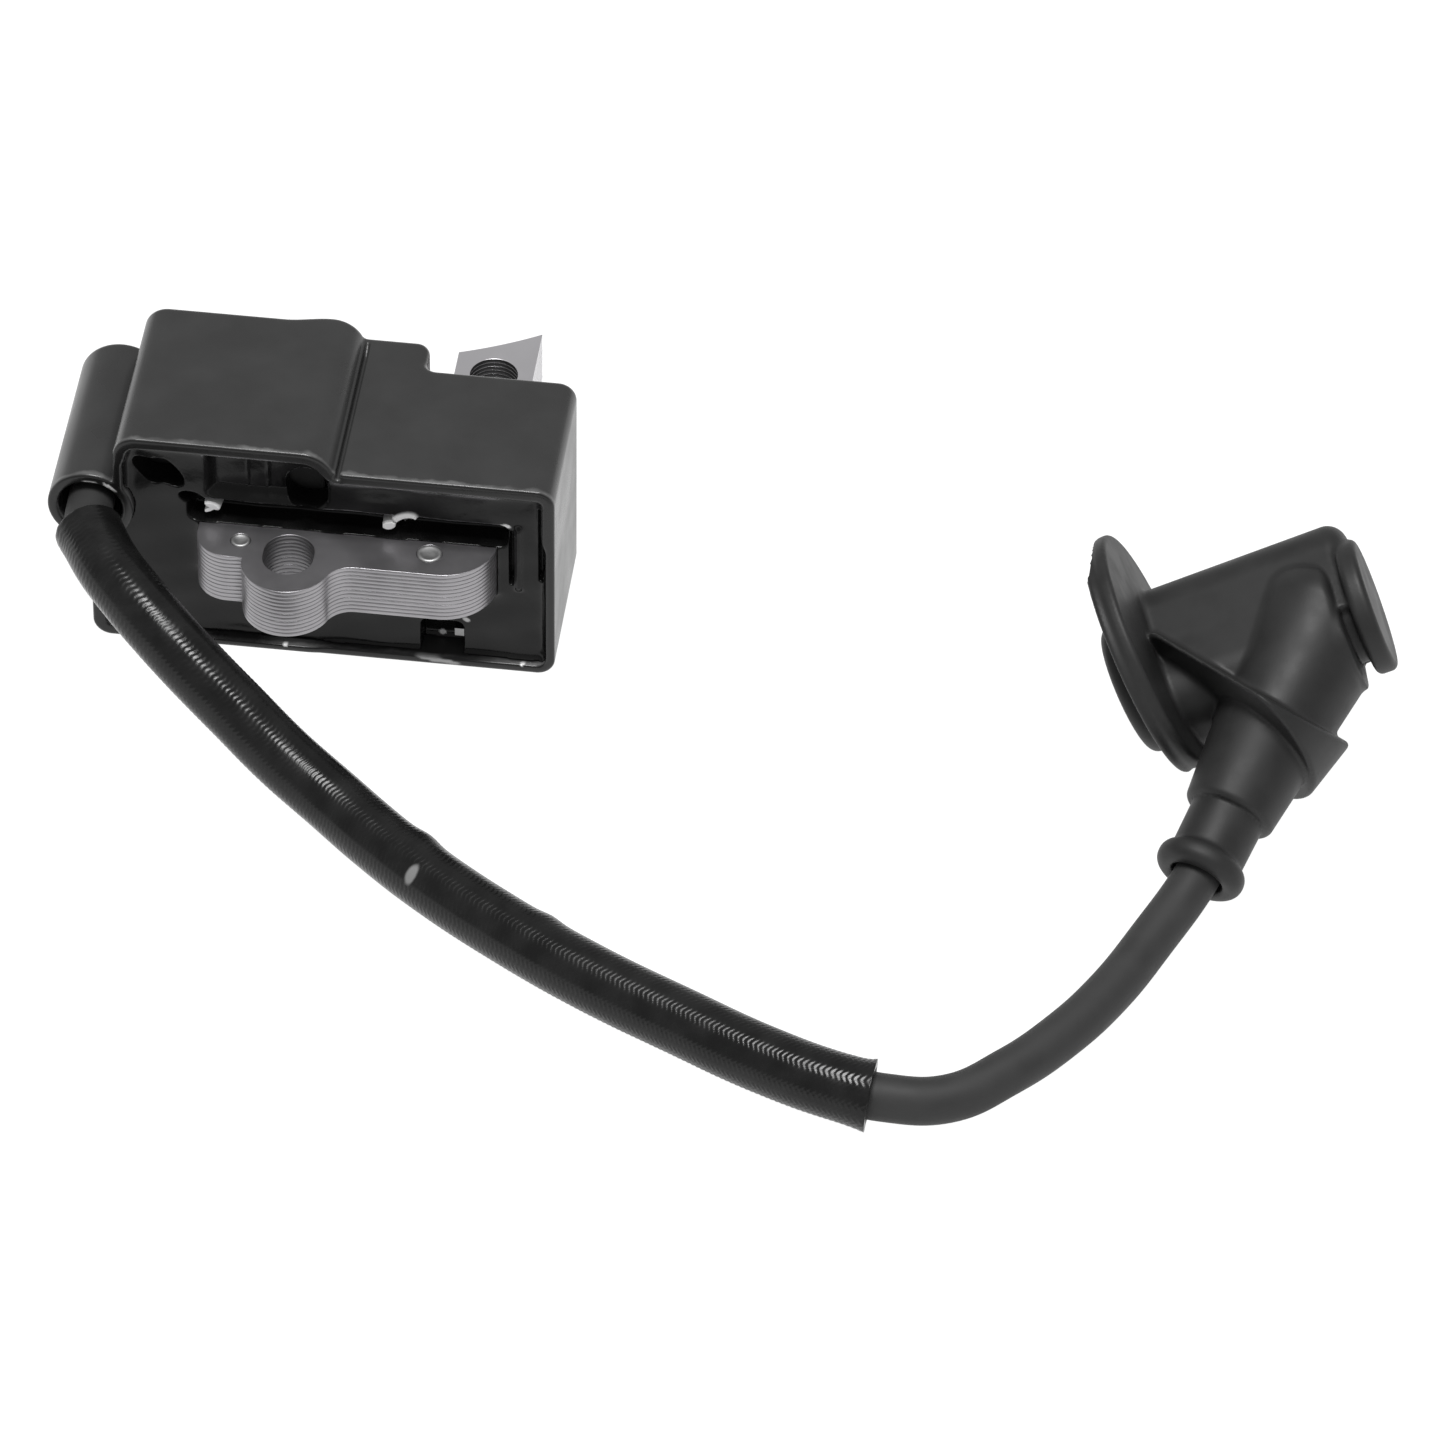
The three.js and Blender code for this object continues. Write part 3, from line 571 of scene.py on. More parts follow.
def housing_plan(x, y):
    """The housing seen from above: the body, and the shoulder reaching further back."""
    back = HUMP_DEPTH + (SHOULDER_DEPTH - HUMP_DEPTH) * step(x, *SHOULDER_SWELL)
    return merge(y - BODY_DEPTH, meet(x - SHOULDER_RIGHT, y - back, 1.5), 1.2)


def housing_groove(x, y, z):
    """A narrow groove where the hump meets the body's top, running out at the back."""
    run_out = [-SHOULDER_DEPTH + reach for reach in GROOVE_RUN_OUT]
    depth = GROOVE_DEPTH * step(-y, *run_out)
    across = np.abs(x - HUMP_RIGHT - GROOVE_WIDTH / 2) - GROOVE_WIDTH / 2
    return meet(across, BODY_HEIGHT - depth - z, 0.1)


def pale_spot(x, z, spot_x, spot_z, long, wide, turn=0.0):
    """One inside an ellipse turned from level by some degrees, nothing outside it."""
    c, s = math.cos(math.radians(turn)), math.sin(math.radians(turn))
    u = ((x - spot_x) * c + (z - spot_z) * s) / long
    v = ((z - spot_z) * c - (x - spot_x) * s) / wide
    return step(-np.hypot(u, v), -1.15, -0.85)


def strongest(x, z, spots):
    """The strongest of several painted highlights at each place."""
    return np.max([strength * pale_spot(x, z, *spot) for *spot, strength in spots], axis=0)


def housing_highlights(x, y, z):
    """Painted highlights on the front rim: pale, glossy spots where the light glints."""
    near, far = RIM_HIGHLIGHT_REACH
    return strongest(x, z, RIM_HIGHLIGHTS) * step(-y, -far, -near)


def housing_field(x, y, z):
    profile = housing_profile(x, z)
    bulk = meet(profile, housing_plan(x, y), OUTER_EDGE)
    radial = np.hypot(x - BOSS_X, z - BOSS_Z)
    boss = meet(radial - BOSS_RADIUS, y - HUMP_DEPTH, OUTER_EDGE)
    outside = merge(carve(bulk, housing_groove(x, y, z), 0.1), boss, 0.15)
    outside = meet(outside, -y, FRONT_EDGE)
    hollow = meet(profile + WALL, y - (BODY_DEPTH - WALL), 0.5)
    hollow = carve(hollow, radial - BOSS_RADIUS, 0.3)
    bore = meet(radial - BOSS_BORE, y - BOSS_BORE_DEPTH, 0.3)
    legs = np.minimum(
        rectangle(x, z, YOKE_LEFT, COIL_LEG_RIGHT, CORE_BOTTOM, CORE_TOP),
        rectangle(x, z, POLE_LEG_LEFT, YOKE_RIGHT, CORE_BOTTOM, CORE_TOP),
    ) - LEG_SLACK
    opened = carve(outside, hollow, 0.2)
    return np.maximum(carve(opened, bore, 0.3), -legs)


def add_housing():
    piece = add_field("coil_housing", housing_field, *HOUSING_BOX, HOUSING_PITCH,
                      housing_look, MODULE_SHIFT, housing_highlights)
    stand_for(piece, "housing_plastic", "housing")


# ---------------------------------------------------------------- resin
RESIN_BOX = ((1.2, 0.2, 1.2), (48.9, 4.5, 27.0))
RESIN_PITCH = 0.14
RESIN_SLACK = 0.02
CORE_SLACK = 0.03
CLIMB_REACH = 0.5  # the resin climbs the walls and the core over about this width
WALL_CLIMB = 0.9
CORE_CLIMB = 0.4
# Sunk places, seen from the front: left, right, low, high, corner.
TROUGH = (YOKE_LEFT - 1.2, 45.0, CORE_TOP + 0.25, 19.5, 0.9)
TROUGH_DEPTH = 2.4
MOUTH = (12.4, 25.8, 19.9, 26.9, 1.2)
MOUTH_DEPTH = 1.2
MOUTH_RIBS = (16.9, 19.1)
MOUTH_RIB_WIDTH = 0.15
MOUTH_RIB_HEIGHT = 0.1
LEFT_HOLE = (7.5, 23.1)  # its middle
LEFT_HOLE_RADIUS = 1.75
LEFT_HOLE_STRETCH = 1.5
RIGHT_HOLE = (21.1, 25.6, 19.6, 24.2, 2.0)
HOLE_DEPTH = 5
SLIT = (45.1, 45.5, 11.4, 19.0, 0.2)
SLIT_DEPTH = 1.3
RIDGE_X = 46.1  # a low ridge to the right of the slit
RIDGE_HEIGHT = 0.4
RIDGE_WIDTH = 0.45
RIDGE_SPAN = (10.8, 19.4)
CHANNEL = (48.3, 48.75, 12.4, 22.7, 0.2)
CHANNEL_DEPTH = 1.0
POCKET = (35.5, 40.1, 0.5, 5.3, 0.9)
POCKET_DEPTH = 2.4
# Ellipses, seen from the front: x, z, half length, half width, turn in degrees.
RING_OUTSIDE = (33.5, 18.75, 2.0, 1.1, 35)
RING_INSIDE = (33.95, 18.55, 1.2, 0.7, 35)
RING_HOLE = (33.95, 18.55, 1.1, 0.65, 35)
RING_FOOT = (32.2, 18.2, 0.85, 0.55, 20)
ARROW_BARBS = [(13.2, 18.7, 1.0, 0.38, -22), (12.9, 18.2, 0.7, 0.25, 30)]
ARROW_SHADOW = (11.0, 19.6, 1.3, 0.8, -20)
HOLLOW_DEPTH = 2
FOLD_PROUD = 0.1  # how far the folds' crests stand in front of the flat resin
# Painted highlights on the resin, pale glossy glints, with their strength last.
RESIN_HIGHLIGHTS = [
    (44.7, 19.6, 0.55, 0.3, 0, 0.8),
    (37.5, 1.6, 0.4, 0.25, 0, 0.8),
    (40.4, 5.7, 0.4, 0.25, -20, 0.6),
]


def sunk(x, z, area, depth, start, end):
    """Depth inside an area of the resin's front, its sides sloping from start to end inward."""
    return depth * step(-rectangle(x, z, *area), start, end)


def resin_front(x, z):
    """How far behind the housing's front the resin's surface lies."""
    to_wall = -(housing_profile(x, z) + WALL)
    to_core = rectangle(x, z, YOKE_LEFT, YOKE_RIGHT, CORE_BOTTOM, CORE_TOP, 0.3)
    depth = RESIN_RECESS - WALL_CLIMB * np.exp(-np.maximum(to_wall, 0) / CLIMB_REACH)
    depth = depth - CORE_CLIMB * np.exp(-np.maximum(to_core, 0) / CLIMB_REACH)
    depth = depth + 0.05 * np.sin(x * 0.9 + 0.4 * z) + 0.04 * np.sin(z * 1.3 - x * 0.35)
    depth = depth + sunk(x, z, TROUGH, TROUGH_DEPTH, -0.25, 0.6)
    depth = depth + sunk(x, z, MOUTH, MOUTH_DEPTH, -0.2, 1.3)
    ribs = sum(bump((x - rib_x) / MOUTH_RIB_WIDTH) for rib_x in MOUTH_RIBS)
    depth = depth - ribs * sunk(x, z, MOUTH, MOUTH_RIB_HEIGHT, 0.3, 0.8)
    depth = depth + HOLE_DEPTH * resin_holes(x, z)
    folds = np.maximum(resin_folds(x, z), 0.7 * pale_spot(x, z, *RING_INSIDE))
    depth = depth + (RESIN_RECESS - FOLD_PROUD - depth) * folds
    depth = depth + HOLLOW_DEPTH * pale_spot(x, z, *RING_HOLE)
    depth = depth + HOLLOW_DEPTH * pale_spot(x, z, *ARROW_SHADOW)
    depth = depth + sunk(x, z, SLIT, SLIT_DEPTH, -0.1, 0.12)
    ridge = bump((x - RIDGE_X) / RIDGE_WIDTH) * step(-span(z, *RIDGE_SPAN), -0.6, 0.4)
    depth = depth - RIDGE_HEIGHT * ridge
    depth = depth + sunk(x, z, CHANNEL, CHANNEL_DEPTH, -0.1, 0.15)
    return depth + sunk(x, z, POCKET, POCKET_DEPTH, -0.1, 0.15)


def resin_holes(x, z):
    """One in the two deep holes at the hump's sides: a ragged one and a round-cornered one."""
    hole_x, hole_z = LEFT_HOLE
    lower_edge = 0.3 * (x - 7.3) - 0.25 * np.sin(x * 1.7)
    ragged = np.hypot((x - hole_x) / LEFT_HOLE_STRETCH, z - hole_z + lower_edge)
    deep = np.minimum(ragged - LEFT_HOLE_RADIUS, rectangle(x, z, *RIGHT_HOLE))
    return step(-deep, -0.1, 0.2)


def resin_folds(x, z):
    """Two folds of resin above the yoke: a broken ring and an arrow. They are also the mask of their
    painted highlights.
    """
    ring = pale_spot(x, z, *RING_OUTSIDE) - pale_spot(x, z, *RING_INSIDE)
    folds = np.clip(ring, 0, 1) * step(x + 0.9 * z, 49.0, 49.9)
    for shape in (RING_FOOT, *ARROW_BARBS):
        folds = np.maximum(folds, pale_spot(x, z, *shape))
    return folds


def resin_highlights(x, y, z):
    """Painted highlights on the resin: its two folds and the listed spots, pale and glossy where the
    light glints.
    """
    return np.maximum(resin_folds(x, z), strongest(x, z, RESIN_HIGHLIGHTS))


def resin_field(x, y, z):
    inside_walls = housing_profile(x, z) + WALL + RESIN_SLACK
    limits = np.maximum(inside_walls, y - RESIN_RECESS - RESIN_PLUG)
    radial = np.hypot(x - BOSS_X, z - BOSS_Z)
    limits = np.maximum(limits, BOSS_RADIUS + RESIN_SLACK - radial)
    core = rectangle(x, z, YOKE_LEFT, YOKE_RIGHT, CORE_BOTTOM, CORE_TOP) - CORE_SLACK
    return np.maximum(np.maximum(limits, (resin_front(x, z) - y) * 0.6), -core)


def add_resin():
    piece = add_field("casting_resin", resin_field, *RESIN_BOX, RESIN_PITCH,
                      resin_look, MODULE_SHIFT, resin_highlights)
    stand_for(piece, "potting_resin", "potting_resin")


# ---------------------------------------------------------------- core
HOLE_STEP = 7.5  # degrees between the rear hole's corners
RIVET_HOLE_STEP = 12
RIVET_SLACK = 0.05
HOLE_WALL = 0.3  # faces this near a hole's edge count as its wall
REAR_HOLE_SHADE = 0.9
SLOT_SHADE = 0.45
SHEET_JITTER = 0.008
RIVET_SIDES = 40
# A rivet head from its middle outward: share of the radius, height.
RIVET_HEAD = [(0.02, 0.04), (0.45, 0.03), (0.66, 0.1), (0.82, 0.16), (0.95, 0.1), (1, 0)]


def arc(x, y, radius, start, end, count=24):
    """Points on a circle from one angle to another, in degrees."""
    angles = np.radians(np.linspace(start, end, count))
    return list(zip(x + radius * np.cos(angles), y + radius * np.sin(angles)))


def ring(x, y, radius, angle_step):
    """Points all the way round a circle, the first one not repeated."""
    return arc(x, y, radius, 0, 360 - angle_step, round(360 / angle_step))


def pole_angle(x):
    """Where on the flywheel's circle a leg's side ends, in degrees."""
    return -math.degrees(math.acos((x - FLYWHEEL_X) / FLYWHEEL_RADIUS))


def sheet_outline():
    """One sheet: yoke with its lug in front, a leg through the coils and a pole leg."""
    reach = LUG_RADIUS + LUG_FILLET
    fillet_x = LUG_X + math.sqrt(reach**2 - LUG_FILLET**2)
    touch = math.degrees(math.atan2(-LUG_FILLET, fillet_x - LUG_X))
    left, right = YOKE_LEFT + YOKE_LEFT_CORNER, YOKE_RIGHT - YOKE_RIGHT_CORNER
    wheel = (FLYWHEEL_X, FLYWHEEL_Y, FLYWHEEL_RADIUS)
    points = arc(left, YOKE_FRONT + YOKE_LEFT_CORNER, YOKE_LEFT_CORNER, 180, 270)
    points += arc(LUG_X, YOKE_FRONT, LUG_RADIUS, 180, 360 + touch, 48)
    points += arc(fillet_x, YOKE_FRONT - LUG_FILLET, LUG_FILLET, 180 + touch, 90)
    points += arc(right, YOKE_FRONT + YOKE_RIGHT_CORNER, YOKE_RIGHT_CORNER, 270, 360)
    points += arc(*wheel, pole_angle(YOKE_RIGHT), pole_angle(POLE_LEG_LEFT), 12)
    points += [(POLE_LEG_LEFT, YOKE_BACK), (COIL_LEG_RIGHT, YOKE_BACK)]
    points += arc(*wheel, pole_angle(COIL_LEG_RIGHT), pole_angle(YOKE_LEFT), 10)
    return points


def sheet_holes():
    holes = [
        arc(LUG_X, SLOT_BACK, SLOT_RADIUS, 0, 180)
        + arc(LUG_X, SLOT_FRONT, SLOT_RADIUS, 180, 360),
        ring(REAR_HOLE_X, REAR_HOLE_Y, REAR_HOLE_RADIUS, HOLE_STEP),
    ]
    return holes + [ring(x, y, radius + RIVET_SLACK, RIVET_HOLE_STEP) for x, y, radius in RIVETS]


def sheet_mesh():
    """The sheet as a filled curve with its edges broken by a small bevel, made a mesh."""
    data = bpy.data.curves.new("sheet", "CURVE")
    data.dimensions = "2D"
    data.fill_mode = "BOTH"
    data.extrude = (SHEET_THICKNESS / 2 - SHEET_BEVEL) * MM
    data.bevel_depth = SHEET_BEVEL * MM
    data.bevel_resolution = 1
    data.offset = -SHEET_BEVEL * MM
    for loop in [sheet_outline(), *sheet_holes()]:
        spline = data.splines.new("POLY")
        spline.points.add(len(loop) - 1)
        for point, (x, y) in zip(spline.points, loop):
            point.co = (x * MM, y * MM, 0, 1)
        spline.use_cyclic_u = True
    holder = link(bpy.data.objects.new("sheet", data))
    bpy.context.view_layer.update()
    mesh = bpy.data.meshes.new_from_object(holder.evaluated_get(
        bpy.context.evaluated_depsgraph_get()))
    bpy.data.objects.remove(holder)
    set_patches(mesh, [hole_shade(face) for face in mesh.polygons], "FACE")
    return mesh


def hole_shade(face):
    """How dark a face of the sheet is: the walls of the rear hole and the slot are darkest."""
    if abs(face.normal.z) > 0.9:
        return 0.0
    x, y = face.center.x / MM, face.center.y / MM
    if math.hypot(x - REAR_HOLE_X, y - REAR_HOLE_Y) < REAR_HOLE_RADIUS + HOLE_WALL:
        return REAR_HOLE_SHADE
    slot_y = min(max(y, SLOT_FRONT), SLOT_BACK)
    by_slot = math.hypot(x - LUG_X, y - slot_y) < SLOT_RADIUS + HOLE_WALL
    return SLOT_SHADE if by_slot else 0.0


def add_core():
    """The sheets in their stack, each a hair out of line with the next."""
    chance = np.random.default_rng(5)
    pattern = sheet_mesh()
    pattern.materials.clear()
    pattern.materials.append(core_look)
    for i in range(SHEET_COUNT):
        name = f"core_sheet_{i + 1:02d}"
        mesh = pattern.copy()
        mesh.name = name
        jitter = chance.uniform(-SHEET_JITTER, SHEET_JITTER, 2)
        middle = CORE_BOTTOM + SHEET_THICKNESS / 2 + i * SHEET_PITCH
        place = MODULE_SHIFT + np.array([jitter[0], jitter[1], middle])
        mesh.transform(Matrix.Translation(Vector(place * MM)))
        sheet = link(bpy.data.objects.new(name, mesh))
        stand_for(sheet, "core_steel", f"core_lamination_{i + 1:02d}")


def add_rivets():
    """Rivets spread at both ends, each head a shallow dish inside a raised ring."""
    for i, (x, y, radius) in enumerate(RIVETS):
        profile = [(r * radius, CORE_TOP + rise) for r, rise in RIVET_HEAD]
        profile += [(r * radius, CORE_BOTTOM - rise) for r, rise in reversed(RIVET_HEAD)]
        rings = [
            [(x + MODULE_SHIFT[0] + r * math.cos(a), y + MODULE_SHIFT[1] + r * math.sin(a), z)
             for a in np.linspace(0, 2 * math.pi, RIVET_SIDES, endpoint=False)]
            for r, z in reversed(profile)
        ]
        rivet = add_loft(f"spread_rivet_{i + 1}", rings, rivet_look)
        stand_for(rivet, "rivet_steel", f"core_rivet_{i + 1}")


# ---------------------------------------------------------------- sleeve
SLEEVE_START = 16.5
SLEEVE_END = 128.8
SLEEVE_BORE = 2.95
SLEEVE_RADIUS = 3.5
RIB_PITCH = 0.58
RIB_RELIEF = 0.04  # at the start; more at the far end
RIB_STEPS = 5
BRAID_COLUMNS = 32
COLUMN_STEPS = 4
COARSE_SPAN = (60, 115)  # distances between which the braid grows coarser
COARSE_GAIN = 0.6
LINING_LENGTH = 6  # how far the bore is drawn in from each end
LINING_RINGS = 12
START_FLARE = (0.15, 1.5)  # how much wider the end is, and over what distance
END_FLARE = (0.35, 1.0)
# Swellings: distance, turn, height, half length.
SLEEVE_BUMPS = [(70, 0.4, 0.3, 1.8), (88, 0.4, 0.2, 1.5)]
BUMP_TURN = 0.12
SLEEVE_PALE_SPOT = (73, 0.12, 0.6, 0.055)  # a pale spot painted on the sleeve: distance, turn, half length, half width in turns
TANGENT_REACH = 0.5
FLOOR_GAP = 0.05


def lead_places(distances):
    """Places and tangents on the lead's curve at distances along it, all in millimetres."""
    points = []
    spline = lead.data.splines[0].bezier_points
    for a, b in zip(spline[:-1], spline[1:]):
        corners = (a.co, a.handle_right, b.handle_left, b.co)
        points += interpolate_bezier(*corners, 40)[:-1]
    points = np.array(points) / MM
    gone = np.concatenate([[0], np.cumsum(np.linalg.norm(np.diff(points, axis=0), axis=1))])

    def at(reached):
        return np.stack([np.interp(reached, gone, points[:, k]) for k in range(3)], axis=1)

    tangents = at(distances + TANGENT_REACH) - at(distances - TANGENT_REACH)
    return at(distances), tangents / np.linalg.norm(tangents, axis=1)[:, None]


def braid_relief(distance, turn):
    """Height of the braid's strands: ribs that lean one way and the other by columns."""
    column = turn * BRAID_COLUMNS
    coarse = step(distance, *COARSE_SPAN)
    zigzag = (0.45 + 0.4 * coarse) * np.abs(np.mod(column, 2) - 1)
    rib = 0.5 + 0.5 * np.cos(2 * math.pi * (distance / RIB_PITCH + zigzag))
    body = np.abs(np.sin(math.pi * column))
    return RIB_RELIEF * (1 + COARSE_GAIN * coarse) * (rib * (0.75 + 0.25 * body) - 0.5)


def flare(from_end, height, reach):
    return height * np.exp(-from_end / reach)


def add_sleeve():
    """A braided tube over the lead, its ends cut and a little flared."""
    ring_step = RIB_PITCH / RIB_STEPS
    outer = np.arange(SLEEVE_START, SLEEVE_END, ring_step)
    inner = np.linspace(0, LINING_LENGTH, LINING_RINGS)
    distance = np.concatenate([SLEEVE_START + inner[::-1], outer, SLEEVE_END - inner])
    turn = np.arange(BRAID_COLUMNS * COLUMN_STEPS) / (BRAID_COLUMNS * COLUMN_STEPS)
    s, t = np.meshgrid(distance, turn, indexing="ij")
    radius = SLEEVE_RADIUS + braid_relief(s, t)
    for place, side, height, length in SLEEVE_BUMPS:
        radius += height * bump((s - place) / length, (t - side) / BUMP_TURN)
    radius += flare(SLEEVE_END - s, *END_FLARE) + flare(s - SLEEVE_START, *START_FLARE)
    inside = np.ones(len(distance), bool)
    inside[len(inner):len(inner) + len(outer)] = False
    radius[inside] = SLEEVE_BORE
    places, tangents = lead_places(distance)
    level = np.cross([0, 0, 1], tangents)
    level /= np.linalg.norm(level, axis=1)[:, None]
    above = np.cross(tangents, level)
    angle = 2 * math.pi * t[..., None]
    rings = places[:, None] + radius[..., None] * (
        np.cos(angle) * -level[:, None] + np.sin(angle) * above[:, None])
    rings[..., 2] = np.maximum(rings[..., 2], FLOOR_GAP)
    piece = add_loft("braided_sleeve", rings, sleeve_look)
    place, side, length, width = SLEEVE_PALE_SPOT
    spot_share = step(-np.hypot((s - place) / length, (t - side) / width), -1.2, -0.7)
    set_patches(piece.data, spot_share)
    stand_for(piece, "sleeve_braid", "protective_sleeve")


# ---------------------------------------------------------------- boot (mm, the row's frame)
PLUG_HEADING = math.radians(14)
PLUG_RISE = math.radians(20.5)
PLUG_AXIS = np.array([
    math.cos(PLUG_HEADING) * math.cos(PLUG_RISE),
    math.sin(PLUG_HEADING) * math.cos(PLUG_RISE),
    math.sin(PLUG_RISE),
])
DISC_POINT = np.array([91.41, -16.96, 9.9])
DISC_TO_ELBOW = 19.4
BOOT_ELBOW = DISC_POINT + DISC_TO_ELBOW * PLUG_AXIS
COLLAR_POINT = np.array([98.7, -40.35, 5.0])
NECK_POINT = np.array([101.0, -33.95, 7.4])
BOOT_PITCH = 0.25
BOOT_MARGIN = 0.6
DISC_LEAN = 0.1
DISC_RISE = 3.9
DISC_SET = 0.5
DISC_RADIUS = 13.2
DISC_THICKNESS = 2.6
DISC_GROOVE = (1.0, 13.5, 0.4)  # distance from the disc's back, distance from its axis, radius
BARREL_START = -2.9
BARREL_END = 2
BARREL_RADII = (7.1, 7.5)
BARREL_GROOVE = (-1.4, 7.65, 0.5)
HEAD_SECTION = (-8.0, 9.5, -5.6, 5.6, 4.6)  # stem side, far side, two flat sides, corner
HEAD_TAPER = 0.014
HEAD_END = 24.3
HEAD_ROUND = 2.2
UNDERCUT_SIDE = -3  # the undercut is on the stem's side of here
CAP_START = 22.9
CAP_END = 25.2
CAP_RADIUS = 7.3
LIP_RADIUS = 5.5
LIP_SLACK = 0.1
STEM_CUT = 21.6
STEM_PAST = 3.7  # the stem's rounded end stands this far past the plug's axis
STEM_RADII = (4.85, 7.9)
STEM_ROUND = 0.7
STEM_DOME = 4.2
SKIRT_POINT = np.array([99.8, -23.0, 11.2])
SKIRT_TOP = np.array([91.2, -17.5, 17.6])
SKIRT_LOWER_WAY = np.array([0.576, 0.76, 0.305])
SKIRT_UPPER_WAY = np.array([0.4145, 0.608, 0.677])
SKIRT_RADIUS = 12.0
SKIRT_TAPER = 0.6
SKIRT_REACH = 7
NECK_RADII = (3.9, 4.0)
NECK_SPAN = (-0.5, 7.5)
BEAD_RADIUS = 4.85
BEAD_SPAN = (-0.9, 1.8)
BEAD_ROUND = 1.25
SOCKET_RADIUS = 5.2
SOCKET_SPAN = (-7, 15)
LEAD_HOLE_RADII = (2.9, 2.75)
LEAD_HOLE_SPAN = (-3, 16)


def unit(vector):
    return vector / np.linalg.norm(vector)


def upward(axis):
    """The direction square to the axis that points most nearly up."""
    return np.cross(axis, unit(np.cross([0, 0, 1], axis)))


def along(x, y, z, base, axis):
    """Distance along an axis from a point on it, and distance from it."""
    dx, dy, dz = x - base[0], y - base[1], z - base[2]
    t = dx * axis[0] + dy * axis[1] + dz * axis[2]
    return t, np.sqrt(np.maximum(dx * dx + dy * dy + dz * dz - t * t, 0))


def cone(x, y, z, base, axis, start, end, r0, r1, edge=0.3):
    """A round bar from start to end along an axis, its radius going from r0 to r1."""
    t, radial = along(x, y, z, base, axis)
    radius = r0 + (r1 - r0) * np.clip((t - start) / (end - start), 0, 1)
    return meet(radial - radius, span(t, start, end), edge)


def groove_around(x, y, z, base, axis, distance, offset, radius):
    """A ring about an axis, to be carved from a rim as a groove."""
    t, radial = along(x, y, z, base, axis)
    return np.hypot(t - distance, radial - offset) - radius


def boot_flange(x, y, z, up):
    """The sealing disc and the barrel behind it, which lean a little off the plug's axis."""
    axis = unit(PLUG_AXIS + DISC_LEAN * up)
    centre = DISC_POINT + DISC_RISE * up - DISC_SET * PLUG_AXIS
    disc = cone(x, y, z, centre, axis, 0, DISC_THICKNESS, DISC_RADIUS, DISC_RADIUS, 0.5)
    disc = carve(disc, groove_around(x, y, z, centre, axis, *DISC_GROOVE), 0.3)
    barrel = cone(x, y, z, DISC_POINT, axis, BARREL_START, BARREL_END, *BARREL_RADII, 1.0)
    barrel = carve(barrel, groove_around(x, y, z, DISC_POINT, axis, *BARREL_GROOVE), 0.1)
    return merge(disc, barrel, 0.3)


def boot_head(x, y, z):
    """Flatter across the plane of plug and stem, with a cap that stands over its near end."""
    stem_way = BOOT_ELBOW - NECK_POINT
    away = unit(stem_way - np.dot(stem_way, PLUG_AXIS) * PLUG_AXIS)
    above = unit(np.cross(PLUG_AXIS, away))
    dx, dy, dz = x - DISC_POINT[0], y - DISC_POINT[1], z - DISC_POINT[2]
    a = dx * away[0] + dy * away[1] + dz * away[2]
    b = dx * above[0] + dy * above[1] + dz * above[2]
    t, radial = along(x, y, z, DISC_POINT, PLUG_AXIS)
    section = rectangle(a, b, *HEAD_SECTION) - HEAD_TAPER * t
    head = meet(section, span(t, 0, HEAD_END), HEAD_ROUND)
    under = meet(STEM_CUT - t, a - UNDERCUT_SIDE, 0.4)
    head = carve(head, meet(under, LIP_RADIUS - LIP_SLACK - radial, 0.2), 0.3)
    bar = (x, y, z, DISC_POINT, PLUG_AXIS)
    cap = cone(*bar, CAP_START, CAP_END, CAP_RADIUS, CAP_RADIUS, 0.7)
    lip = cone(*bar, STEM_CUT - 1, CAP_END, LIP_RADIUS, LIP_RADIUS, 0.4)
    return merge(merge(head, cap, 0.5), lip)


def boot_stem(x, y, z):
    """A cone from the neck up past the elbow, sharp-edged at the neck and domed at the top."""
    axis = unit(BOOT_ELBOW - NECK_POINT)
    length = np.linalg.norm(BOOT_ELBOW - NECK_POINT)
    bar = (x, y, z, NECK_POINT, axis)
    stem = cone(*bar, 0, length + STEM_PAST, *STEM_RADII, STEM_ROUND)
    dome = cone(*bar, 0, length + STEM_PAST, *STEM_RADII, STEM_DOME)
    t, _ = along(x, y, z, NECK_POINT, axis)
    stem = np.where(t < length / 2, stem, dome)
    t, _ = along(x, y, z, DISC_POINT, PLUG_AXIS)
    return meet(stem, t - STEM_CUT, 0.8)


def boot_skirt(x, y, z):
    """A thick-ended plate across the elbow, its two faces on planes that part to the right."""
    lower = unit(SKIRT_LOWER_WAY)
    upper = unit(SKIRT_UPPER_WAY)
    radii = (SKIRT_RADIUS, SKIRT_RADIUS - SKIRT_TAPER)
    plate = cone(x, y, z, SKIRT_POINT, lower, 0, SKIRT_REACH, *radii, 0.5)
    dx, dy, dz = x - SKIRT_TOP[0], y - SKIRT_TOP[1], z - SKIRT_TOP[2]
    above = dx * upper[0] + dy * upper[1] + dz * upper[2]
    return meet(plate, above, 0.5)


